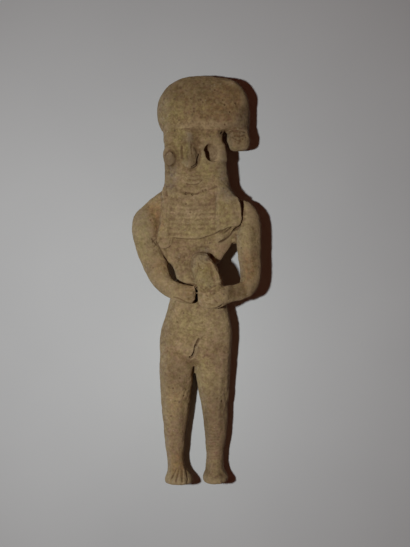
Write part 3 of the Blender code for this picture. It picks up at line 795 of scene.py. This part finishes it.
draw_on_front(
    "the hands",
    *grooves(2.0, 0.40, FORM_SIDE),
    *grooves(0.7, 0.20, *FORM_ARCS, *FORM_SCRATCHES),
    *grooves(0.8, 0.28, *FORM_CREASES),
    *dimples(0.5, 0.35, *FORM_DOTS),
    *grooves(1.0, 1.30, FIST_GAP),
    *grooves(0.9, 0.75, FIST_TOP),
    *grooves(0.9, 0.45, FIST_BOTTOM),
    *grooves(0.8, 0.20, *FIST_FINGERS, *HAND_FINGERS),
    *grooves(0.7, 0.25, *HAND_CREASES),
    *grooves(0.9, 0.80, HAND_NOTCH),
)

# %% [markdown]
# Belly, legs and feet
#
# One deep line marks the belly's lower edge, where the clay to its left stands proud. The toes are
# drawn lines that fan out, clear on one foot and nearly worn off on the other, and the left shin
# still shows the level strokes of the tool that smoothed it.

# %% Belly and legs
BELLY_FOLD = ((-3.7, -18.1), (-1.5, -18.9), (1.1, -19.0), (4.1, -18.2))
GROIN_LINE = (
    (4.5, -23.6), (2.6, -24.7), (1.2, -26.2), (0.3, -27.9), (-0.2, -29.7), (-0.7, -31.4), (-1.5, -33.2),
    (-2.6, -34.2), (-4.2, -34.2),
)
GROIN_TOP = ((1.3, -25.3), (0.4, -26.7), (-0.2, -28.2), (-0.5, -29.6))
GROIN_DEEP = ((-0.1, -27.9), (-0.5, -29.6), (-0.8, -31.2), (-1.3, -32.5), (-2.2, -33.8), (-3.6, -34.1))
LEG_GAP_TOP = ((-1.2, -38.0), (-1.3, -39.6), (-1.5, -41.4), (-1.5, -43.6))
BELLY_SCRATCH = ((-6.8, -26.0), (-5.0, -27.5))
THIGH_RING = (6.3, -36.2, 1.75, 1.75)
THIGH_SCRATCHES = (((-5.5, -49.5), (-4.2, -53.0)), ((-2.9, -51.2), (-2.9, -53.9)))
SHIN_STROKES = 11
SHIN_TOP = -66.5
SHIN_BOTTOM = -80.5
SHIN_SIDES = (3.9, 11.0)
SHIN_WAVER = 0.4
SHIN_ENDS = 1.5
SHIN_POINTS = 4
RING_POINTS = 13


def ring(x, y, across, along, start=0.0):
    """A line that goes once round an oval, from a starting angle."""
    turns = start + np.linspace(0, 2 * math.pi, RING_POINTS)
    return [(x + across * math.cos(turn), y + along * math.sin(turn)) for turn in turns]


def shin_stroke(along):
    """One level stroke of the smoothing tool."""
    left, right = SHIN_SIDES
    heights = along + rng.uniform(-SHIN_WAVER, SHIN_WAVER, SHIN_POINTS)
    start, end = left + rng.uniform(0, SHIN_ENDS), right - rng.uniform(0, SHIN_ENDS)
    return list(zip(np.linspace(start, end, SHIN_POINTS), heights))


shin_strokes = [shin_stroke(along) for along in np.linspace(SHIN_TOP, SHIN_BOTTOM, SHIN_STROKES)]
draw_on_front(
    "the belly and legs",
    *grooves(1.4, 0.15, BELLY_FOLD),
    *step(0.35, 2.2, GROIN_LINE[::-1]),
    *grooves(0.8, 0.25, GROIN_LINE),
    *grooves(0.9, 1.10, GROIN_TOP),
    *grooves(1.7, 1.80, GROIN_DEEP),
    *grooves(1.3, 1.10, LEG_GAP_TOP),
    *grooves(0.6, 0.15, BELLY_SCRATCH, *THIGH_SCRATCHES),
    *grooves(0.6, 0.12, ring(*THIGH_RING), fade=0.01),
    *grooves(0.8, 0.10, *shin_strokes),
)

# %% Toes
RIGHT_TOES = (
    ((-8.7, -82.6), (-10.0, -85.0), (-11.6, -87.8)),
    ((-7.6, -82.8), (-8.4, -85.5), (-9.2, -88.5)),
    ((-6.3, -82.9), (-6.3, -85.5), (-6.3, -88.7)),
    ((-5.3, -83.1), (-4.4, -85.5), (-3.7, -88.5)),
)
LEFT_TOES = (
    ((5.2, -84.6), (4.9, -87.2)),
    ((6.9, -85.2), (6.7, -88.5)),
    ((8.9, -85.0), (9.3, -88.5)),
    ((10.9, -84.8), (11.7, -87.4)),
)
draw_on_front("the toes", *grooves(0.8, 0.38, *RIGHT_TOES), *grooves(0.9, 0.06, *LEFT_TOES))

# %% [markdown]
# An uneven, pitted skin
#
# Nothing pressed by hand is even. Value noise, random heights on a grid with smooth values
# between, gives dents at any size: broad ones from fingers, small ones from grit and wear. Pits
# where grit or straw has gone are scattered at random, and the ones that catch the eye are placed.


# %% Value noise
def value_noise(places, size, seed):
    """Smooth random values between -1 and 1 that change over about this many millimetres."""
    grid = places / size
    grid -= np.floor(grid.min(0))
    corner = grid.astype(int)
    t = grid - corner
    t = t * t * (3 - 2 * t)
    heights = np.random.default_rng(seed).uniform(-1, 1, corner.max(0) + 2)
    total = np.zeros(len(places))
    for steps in itertools.product((0, 1), repeat=3):
        weights = [t[:, axis] if on else 1 - t[:, axis] for axis, on in enumerate(steps)]
        total += np.prod(weights, 0) * heights[tuple((corner + steps).T)]
    return total


DENTS = ((11.0, 0.24, 1), (4.6, 0.14, 2), (2.2, 0.110, 3), (1.1, 0.072, 4), (0.6, 0.034, 5))
ROUGH_SPOTS = (
    (4.5, -7.0, 7.0), (4.0, 3.0, 6.5), (2.5, 9.0, 4.0), (17.5, 62.5, 4.5), (-17.8, 16.2, 3.0),
    (-3.8, 55.0, 4.2), (-5.0, 8.0, 5.0), (-14.0, 38.0, 4.0),
)
ROUGHER = 2.7
ROUGH_SPREAD = 1.5


def dents(places, sizes):
    """Value noise of several sizes, one on top of the other."""
    return sum(height * value_noise(places, size, seed) for size, height, seed in sizes)


places, facing = read_skin()
uneven = dents(places, DENTS)
rough = np.zeros(len(places))
for x, y, radius in ROUGH_SPOTS:
    away = np.hypot(places[:, 0] - x, places[:, 1] - y) / radius
    rough = np.maximum(rough, eased(ROUGH_SPREAD - away))
fine = dents(places, DENTS[2:])
move_skin(uneven + (ROUGHER - 1) * rough * eased(facing[:, 2] / FACING_RISE) * fine)
print("dents up to", round(float(np.abs(uneven).max()), 2), "mm")

# %% Pits
HEADDRESS_PITS = (
    (1.9, 78.2), (-1.1, 74.3), (-1.1, 73.0), (-4.5, 72.2), (3.2, 85.6), (8.0, 82.6), (2.8, 76.9),
    (12.3, 76.1), (17.1, 76.9), (14.5, 73.0), (12.3, 67.4), (11.5, 78.2), (-7.1, 83.9), (-2.4, 78.7),
)
BODY_PITS = (
    (-4.6, 32.9), (-2.8, 29.2), (-19.8, 26.0), (-18.9, 5.1), (-22.4, 15.5), (-8.5, -18.4), (-2.3, -7.5),
    (8.9, -52.1), (11.1, -53.4), (-11.2, -60.0), (-10.4, -47.5), (-7.3, -43.1), (-5.5, -51.0),
)
CHIN_PITS = ((2.8, 38.6), (3.9, 38.9), (-1.8, 37.2), (-4.6, 37.6))
SCATTERED_PITS = 420
PIT_RADII = (0.25, 0.5)
PIT_DEPTHS = (0.05, 0.16)

places, facing = read_skin()
lift = np.zeros(len(places))
for centre in rng.choice(len(places), SCATTERED_PITS, replace=False):
    radius = rng.uniform(*PIT_RADII)
    near = np.flatnonzero((np.abs(places - places[centre]) < radius).all(1))
    away = np.linalg.norm(places[near] - places[centre], axis=1) / radius
    lift[near] -= rng.uniform(*PIT_DEPTHS) * fall_off(away, DIMPLE_FLAT)
move_skin(lift)
print("scattered pits:", SCATTERED_PITS)
draw_on_front(
    "pitted places",
    *dimples(0.62, 0.60, *HEADDRESS_PITS),
    *dimples(0.60, 0.45, *BODY_PITS),
    *dimples(0.70, 0.80, *CHIN_PITS),
)

# %% [markdown]
# Fewer triangles, and inside its box
#
# Decimate takes triangles away where the skin is flat and leaves them where it bends, until at most
# MOST_TRIANGLES are left. The skin is then kept inside the imported solid's box, so that its back lies
# flat on the floor as the solid's does.

# %% Lighter and in its box
MOST_TRIANGLES = 190000

triangles = sum(len(face.vertices) - 2 for face in figure.data.polygons)
apply(figure, "DECIMATE", ratio=min(1.0, MOST_TRIANGLES / triangles), use_collapse_triangulate=True)
places = read_vectors(figure.data.vertices, "co")
places = np.clip(places, cad_box[0], cad_box[1])
figure.data.vertices.foreach_set("co", places.astype(np.float32).ravel())
figure.data.update()
figure.data.materials.clear()
in_edit_mode(figure, lambda: bpy.ops.mesh.normals_make_consistent(inside=False))
choose_only(figure)
bpy.ops.object.shade_smooth()
print("skin:", triangles, "->", len(figure.data.polygons), "triangles")

# %% [markdown]
# Where the skin is hollow, and where it is worn
#
# Hollows are painted darker, partly as soil and partly as painted shade, and rubbing lightens edges.
# The difference between a point and the mean of its neighbours shows which it is. The mean is taken
# over a few rounds for fine lines, and over many for broad forms, and both count.

# %% Hollow and worn places
MEAN_ROUNDS = (6, 40)
HOLLOW_FULL, HOLLOW_WEIGHT = (0.10, 0.35), 0.6
WORN_FULL, WORN_WEIGHT = (0.08, 0.30), 0.5


def share_of(depths, full, weight):
    """Depths at both scales, as shares of a full depth each, added up by weight."""
    return sum(weight * np.clip(depth / most, 0, 1) for depth, most in zip(depths, full))


places, facing = read_skin()
everywhere = np.ones(len(places))
means = [neighbour_means(places, rounds, everywhere) for rounds in MEAN_ROUNDS]
relief = [((mean - places) * facing).sum(1) for mean in means]
hollow_soil_and_shade = share_of(relief, HOLLOW_FULL, HOLLOW_WEIGHT)
worn = share_of([-depth for depth in relief], WORN_FULL, WORN_WEIGHT)
print("hollow share:", round(float((hollow_soil_and_shade > 0.5).mean()), 3))
print("worn share:", round(float((worn > 0.5).mean()), 3))

# %% [markdown]
# Stains, painted shade and painted light
#
# Years in the ground and an uneven fire have left patches: rosy where the clay had more air, ochre,
# a grey film, and a yellow-green bloom. The darker places are painted shade, where flanks, undersides
# and gaps turn away from the lamp, with some dirt; the paler places are partly painted light. Each
# patch is a soft oval: the x and y of its middle, how far it reaches across and along, and how strong
# it is.

# %% Patches of stain, painted shade and painted light
PATCHES = {
    "rosy": (
        (-11.4, 52.8, 2.6, 3.6, 1), (-13, 44, 4.5, 6, 0.6), (-9, -70, 6, 12, 0.7), (8, -68, 5, 14, 0.9),
        (9, -34, 6, 9, 0.5), (-7, 12, 6, 7, 0.5), (-13.5, 38, 2, 8, 0.7), (12, 12, 4.5, 4.5, 0.6),
        (7, 36, 3, 5, 0.6), (-8, -38, 6, 10, 0.5), (14, 70, 9, 6, 0.6), (-11.4, 52.6, 3, 4, 1),
        (18, 67.5, 7, 3.5, 0.8), (7.4, 55.2, 3, 4, 0.6),
    ),
    "ochre": (
        (-18.5, 27, 4, 8, 1), (7.3, 55.2, 3.4, 4.4, 1), (-7.5, -81, 4.5, 5, 0.9), (-15.5, 6, 3, 4, 0.7),
        (-4.5, -5.5, 4, 4, 0.6), (23, 8, 3.5, 6, 0.5), (5.5, 3, 3.5, 4, 0.6), (-9, -53, 4, 6, 0.5),
        (22.5, 4, 3.2, 7, 1), (0, 67, 11, 3, 0.7), (18, 62.5, 4, 4, 0.5), (12, 76, 9, 9, 0.6),
        (-5, -4, 4, 3, 0.7), (22, 5.5, 4, 8, 0.8), (6.2, 5.9, 1.8, 2.4, 0.8),
    ),
    "grey_film_and_lit_side": (
        (-15.5, 72, 5, 12, 0.9), (-4, 61.5, 2.6, 3.6, 0.8), (14, 37.5, 4.5, 4.5, 0.9),
        (11.5, 48, 2.5, 10, 0.7), (-26, 22, 3.5, 9, 0.8), (3, 10.5, 3.8, 3.4, 0.8), (20.5, 70, 4, 7, 0.6),
        (-13, 46.5, 3, 8, 0.5), (11.8, 50, 2.2, 8, 0.8), (-12.5, 46, 4.5, 9, 0.9), (-24.5, 20, 5, 12, 0.9),
        (13.6, 43, 3, 6, 0.9), (4.6, -0.5, 3.5, 3, 0.7),
    ),
    "bloom": (
        (-5.2, 55.5, 2, 5, 1), (-8, 64.5, 4, 4, 0.8), (-10, 72, 5, 8, 0.6), (3, 1, 5, 6, 0.8),
        (0, 22, 9, 5, 0.7), (-3, -19, 7, 6, 0.8), (12, 28, 4, 8, 0.6), (5, 50, 4, 4, 0.6),
        (4, -42, 5, 7, 0.5), (22, 18, 4, 6, 0.5), (-8.4, 58, 1.6, 7, 0.9), (-4.2, 56, 1.8, 3.6, 1),
        (-23.5, 17, 3.5, 10, 0.7), (4, 46, 4, 4, 0.6), (3.2, 3.4, 3.4, 3.6, 1),
    ),
    # Painted shade, with some dirt: darker where flanks, undersides and gaps turn away from the lamp.
    "dirt_and_painted_shade": (
        (0, 86, 16, 4, 0.45), (19.5, 74, 5, 9, 0.45), (18, 62.5, 4.5, 4, 0.75), (-11.4, 52, 3, 4, 0.4),
        (-2.6, 54, 2.6, 5.4, 0.85), (19.5, -5, 8, 4, 0.95), (25, 12, 3, 14, 0.45), (-19.5, 3, 3, 8, 0.3),
        (-18, -6, 6, 4.5, 0.6), (-10, -42, 5.5, 9, 0.6), (7.5, -62, 5.5, 20, 0.7), (-8, -72, 5, 14, 0.35),
        (9, -35, 6, 8, 0.3), (-12.5, -24, 4.5, 7, 0.5), (11.5, 48, 3, 9, 0.45), (-13, 47, 2.5, 9, 0.3),
        (-3.5, -36.6, 3, 2.6, 0.4), (4, 4, 6, 8, 0.25), (-2.4, 7.2, 0.9, 3.4, 0.6),
        (-1.2, 10.2, 1.3, 1.3, 0.5), (2.6, 11.4, 3, 1.3, 0.45), (10.6, 63.6, 1.9, 1.9, 0.8),
        (25.5, 24, 3, 5, 0.4), (-1, 53.2, 2, 5, 0.7), (-1.5, 62, 2.6, 4, 0.45), (22.5, 4, 3.5, 8, 0.55),
        (18, 62, 5, 4.5, 0.9), (8.5, -84, 5.5, 5, 0.5), (1.5, 83, 17, 7, 0.55), (-6, -5, 5, 4.5, 0.3),
        (-4, 9, 7, 5, 0.35), (10.2, 63.6, 1.6, 2, 1), (20, 82, 4, 8, 0.6), (21.5, 72, 3, 8, 0.5),
        (-11.4, 52.6, 3.4, 4.6, 0.65), (14, 76, 9, 10, 0.5), (18, 66.6, 7, 2.2, 0.8),
        (12.6, 52, 1.6, 9, 0.6), (0, 56, 2.2, 5, 0.6), (-2.6, 58, 1.6, 6, 0.8),
    ),
    # Painted light in part: lighter where surfaces face the lamp, such as the floor of the eye socket.
    "pale_and_painted_light": (
        (1, 67, 13, 2.6, 0.6), (7.2, 55.2, 3.4, 4.4, 1), (-2, 26, 9, 9, 0.25), (-3, -18, 9, 6, 0.25),
    ),
}
PATCH_SPREAD = 1.4
FRONT_SHARE = 0.6

stains_and_painted_light = {}
for kind, patches in PATCHES.items():
    stains_and_painted_light[kind] = np.zeros(len(places))
    for x, y, across, along, strength in patches:
        away = np.hypot((places[:, 0] - x) / across, (places[:, 1] - y) / along)
        patch = strength * eased(PATCH_SPREAD - away) * eased(facing[:, 2] + FRONT_SHARE)
        stains_and_painted_light[kind] = np.maximum(stains_and_painted_light[kind], patch)
print("patches:", {kind: len(patches) for kind, patches in PATCHES.items()})

# %% [markdown]
# Painted shade and soil in the lines, and a painted lit side
#
# The deeper lines and gaps are painted dark in a soft band along each: painted shade, and soil packed
# in them. The flanks that look to the figure's right face the lamp, and are painted greyer as its
# grazing light shows them. All of it is stored with the mesh as two attributes of four numbers each,
# which is how a material can read what was worked out on the skin.

# %% Painted shade, soil, a painted lit side, and storing the stains
LIT_SIDE_GREY, LIT_SIDE_FROM, LIT_SIDE_RISE = 0.8, 0.35, 0.5
SHADE_AND_SOIL_FLAT = 1.4
EYE_RING = ring(-11.2, 52.6, 2.0, 3.1, start=math.pi / 2)
# Painted shade and soil: dark bands along deep lines, nearly black in the elbow gap and along the nose's
# edge.
SHADE_AND_SOIL_LINES = (
    (1.50, 1.0, (ELBOW_GAP,)),
    (0.75, 1.0, (NOSE_EDGE, GROIN_TOP, LEG_GAP_TOP, GROIN_DEEP, UNDER_HEADDRESS[:3])),
    (0.60, 0.9, (SLASH_LOWER, FIST_TOP, FIST_GAP)),
    (0.50, 0.7, (SLASH_UPPER, ARM_CREASE, UNDER_HEADDRESS, NOSE_RIDGE_MARK, CHIN_LINE, HAND_NOTCH)),
    (0.45, 0.5, (HEM, BROW_LINE, LEFT_LAPPET_OUTER, FIST_BOTTOM, UNDER_LIP)),
    (0.45, 0.5, (*SHOULDER_HATCH, *RIGHT_TOES, *CURL_LINES)),
    (1.10, 0.4, (FORM_SIDE, OVER_HELD_FORM)),
    (0.90, 0.8, (EYE_RING, NOSE_RIGHT_FLANK)),
)


def store(name, *channels):
    """Stores four numbers between 0 and 1 with each point of the skin."""
    values = np.clip(np.column_stack(channels), 0, 1)
    attribute = figure.data.color_attributes.new(name, "FLOAT_COLOR", "POINT")
    attribute.data.foreach_set("color", values.astype(np.float32).ravel())


# Painted light: the flanks that face the lamp are painted greyer.
painted_lit_side_grey = LIT_SIDE_GREY * eased((-facing[:, 0] - LIT_SIDE_FROM) / LIT_SIDE_RISE)
stains_and_painted_light["grey_film_and_lit_side"] = np.maximum(stains_and_painted_light["grey_film_and_lit_side"], painted_lit_side_grey)
for width, strength, lines in SHADE_AND_SOIL_LINES:
    for line in lines:
        near, distance, _, share = measure(places[:, :2], line, width)
        band = fall_off(distance / width, SHADE_AND_SOIL_FLAT) * ends_fade(share) * on_front(places[near])
        for darkened in (stains_and_painted_light["dirt_and_painted_shade"], hollow_soil_and_shade):
            darkened[near] = np.maximum(darkened[near], strength * band)
KINDS = ("rosy", "ochre", "grey_film_and_lit_side", "bloom")
store("stains_and_painted_light", *(stains_and_painted_light[kind] for kind in KINDS))
store("relief", hollow_soil_and_shade, worn, stains_and_painted_light["dirt_and_painted_shade"], stains_and_painted_light["pale_and_painted_light"])
print("darkened share:", round(float((stains_and_painted_light["dirt_and_painted_shade"] > 0.5).mean()), 3))

# %% [markdown]
# The fired clay
#
# The clay is a dusty buff. Two node groups make its finish: one mottles it and is used at several
# sizes, and one scatters specks of grit. A group puts out only a mask, and the shader stays in the
# material.


# %% Node groups
def new_group(name, **inputs):
    """An empty node group with a place, these float inputs, and a mask to put out."""
    group = bpy.data.node_groups.new(name, "ShaderNodeTree")
    group.interface.new_socket("Place", in_out="INPUT", socket_type="NodeSocketVector")
    for label, value in inputs.items():
        socket = group.interface.new_socket(label, in_out="INPUT", socket_type="NodeSocketFloat")
        socket.default_value = value
    group.interface.new_socket("Mask", in_out="OUTPUT", socket_type="NodeSocketFloat")
    return group, group.nodes.new("NodeGroupInput"), group.nodes.new("NodeGroupOutput")


def ranged(tree, source, low, high, to_low=0.0, to_high=1.0):
    """Maps a value from one range to another, with a soft start and end, and stops there."""
    ends = {"from_min": low, "from_max": high, "to_min": to_low, "to_max": to_high}
    node = add_node(tree, "MapRange", interpolation_type="SMOOTHSTEP", value=source, **ends)
    return node.outputs["Result"]


def maths(tree, operation, a, b):
    """One sum of two sockets, or of a socket and a number."""
    node = add_node(tree, "Math", operation=operation)
    for socket, value in zip(node.inputs, (a, b)):
        fill(tree, socket, value)
    return node.outputs[0]


def mottle_group():
    """Cloudy patches between 0 and 1, at a given size, with small ones inside large ones."""
    group, inside, outside = new_group("mottle", Scale=200.0, Detail=4.0)
    place, scale, detail = inside.outputs["Place"], inside.outputs["Scale"], inside.outputs["Detail"]
    cloud = add_node(group, "TexNoise", roughness=0.6, vector=place, scale=scale, detail=detail)
    fill(group, outside.inputs["Mask"], ranged(group, cloud.outputs["Fac"], 0.32, 0.68))
    return group


def grit_group():
    """Small round specks, 1 in their middle, where random cells are chosen."""
    group, inside, outside = new_group("grit", Scale=900.0, Share=0.1)
    place, scale = inside.outputs["Place"], inside.outputs["Scale"]
    cells = add_node(group, "TexVoronoi", vector=place, scale=scale)
    speck = ranged(group, cells.outputs["Distance"], 0.34, 0.16)
    parts = add_node(group, "SeparateColor", color=cells.outputs["Color"])
    chosen = maths(group, "LESS_THAN", parts.outputs["Red"], inside.outputs["Share"])
    fill(group, outside.inputs["Mask"], maths(group, "MULTIPLY", speck, chosen))
    return group


mottle, grit = mottle_group(), grit_group()
print("node groups:", [group.name for group in (mottle, grit)])

# %% The clay's material
BUFF = (0.350, 0.258, 0.144, 1.0)
PALE_BUFF = (0.432, 0.338, 0.202, 1.0)
HEAD_BROWN = (0.228, 0.145, 0.060, 1.0)
COLOURS = {
    "rosy": (0.345, 0.210, 0.142, 1.0),
    "ochre": (0.400, 0.240, 0.105, 1.0),
    "grey_film_and_lit_side": (0.245, 0.220, 0.172, 1.0),
    "bloom": (0.360, 0.312, 0.122, 1.0),
    "soil_and_painted_shade": (0.140, 0.080, 0.042, 1.0),
    "dark grit": (0.090, 0.062, 0.040, 1.0),
    "pale grit": (0.560, 0.480, 0.340, 1.0),
}

clay, tree, shader = new_material("terracotta_clay", 0.93)
shader.inputs["Diffuse Roughness"].default_value = 0.4
shader.inputs["Specular IOR Level"].default_value = 0.25
place = add_node(tree, "TexCoord").outputs["Object"]


def use_group(group, **values):
    """Places a group in the clay's material and gives back its mask."""
    return add_node(tree, "Group", node_tree=group, place=place, **values).outputs["Mask"]


def layer(under, colour, mask=1.0, strength=1.0, blend="MIX"):
    """Lays a colour or a socket over another, as far as the mask and the strength say."""
    if strength < 1.0:
        mask = maths(tree, "MULTIPLY", mask, strength)
    node = add_node(tree, "Mix", data_type="RGBA", blend_type=blend)
    colours = [socket for socket in node.inputs if socket.type == "RGBA"]
    for socket, value in zip((node.inputs["Factor"], *colours), (mask, under, colour)):
        fill(tree, socket, value)
    return [socket for socket in node.outputs if socket.type == "RGBA"][0]


# %% Where each colour goes
HEAD_FROM, HEAD_TO = 0.040, 0.075
HUE_FLECKS = (("rosy", 640.0, 0.42), ("bloom", 530.0, 0.45))

broad = use_group(mottle, scale=55.0, detail=5.0)
middling = use_group(mottle, scale=170.0, detail=4.0)
small = use_group(mottle, scale=420.0, detail=5.0)
fine_mottle = use_group(mottle, scale=1100.0, detail=3.0)
parts = add_node(tree, "SeparateXYZ", vector=place)
head = ranged(tree, parts.outputs["Y"], HEAD_FROM, HEAD_TO)
stain = add_node(tree, "Attribute", attribute_name="stains_and_painted_light")
stain_parts = add_node(tree, "SeparateColor", color=stain.outputs["Color"])
relief_form = add_node(tree, "Attribute", attribute_name="relief")
relief_parts = add_node(tree, "SeparateColor", color=relief_form.outputs["Color"])

colour = layer(BUFF, PALE_BUFF, broad, 0.6)
colour = layer(colour, HEAD_BROWN, head, 0.75)
broken = ranged(tree, small, 0.0, 0.8, to_low=0.55)
for name, mask in zip(KINDS, (*stain_parts.outputs, stain.outputs["Alpha"])):
    colour = layer(colour, COLOURS[name], maths(tree, "MULTIPLY", mask, broken), 0.95)
for name, scale, strength in HUE_FLECKS:
    colour = layer(colour, COLOURS[name], use_group(mottle, scale=scale, detail=3.0), strength)
# Paler places, partly painted light.
colour = layer(colour, PALE_BUFF, relief_form.outputs["Alpha"])
print("clay layers so far:", len(tree.nodes), "nodes")

# %% Mottling, dirt, painted shade and grit
NO_SHADE = (1.0, 1.0, 1.0, 1.0)
SHADES = (
    (middling, (0.90, 0.88, 0.85, 1.0), (1.09, 1.09, 1.09, 1.0)),
    (small, (0.79, 0.77, 0.72, 1.0), (1.10, 1.10, 1.10, 1.0)),
    (fine_mottle, (0.78, 0.75, 0.70, 1.0), (1.14, 1.14, 1.14, 1.0)),
    # Painted shade and dirt darken the colour here.
    (relief_parts.outputs["Blue"], NO_SHADE, (0.50, 0.45, 0.40, 1.0)),
)
GRIT_SPECKS = (("dark grit", 520.0, 0.05, 0.5), ("pale grit", 780.0, 0.04, 0.3))

for mask, low, high in SHADES:
    colour = layer(colour, layer(low, high, mask), blend="MULTIPLY")
# Soil and painted shade in hollows and deep lines.
colour = layer(colour, COLOURS["soil_and_painted_shade"], relief_parts.outputs["Red"], 0.55)
colour = layer(colour, PALE_BUFF, relief_parts.outputs["Green"], 0.35)
for name, scale, share, strength in GRIT_SPECKS:
    colour = layer(colour, COLOURS[name], use_group(grit, scale=scale, share=share), strength)
fill(tree, shader.inputs["Base Color"], colour)
fill(tree, shader.inputs["Roughness"], ranged(tree, fine_mottle, 0.0, 1.0, 0.86, 0.98))
print("colour layers:", len(tree.nodes), "nodes")

# %% A fine bump
heights = maths(tree, "ADD", maths(tree, "MULTIPLY", small, 0.9), maths(tree, "MULTIPLY", fine_mottle, 0.5))
heights = maths(tree, "SUBTRACT", heights, use_group(grit, scale=650.0, share=0.12))
bump = add_node(tree, "Bump", strength=0.55, distance=0.00016, height=heights)
fill(tree, shader.inputs["Normal"], bump.outputs["Normal"])
figure.data.materials.append(clay)
print("clay:", len(tree.nodes), "nodes")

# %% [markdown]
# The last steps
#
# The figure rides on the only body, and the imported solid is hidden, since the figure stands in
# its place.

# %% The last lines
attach(figure, "root")
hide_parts(NODE)
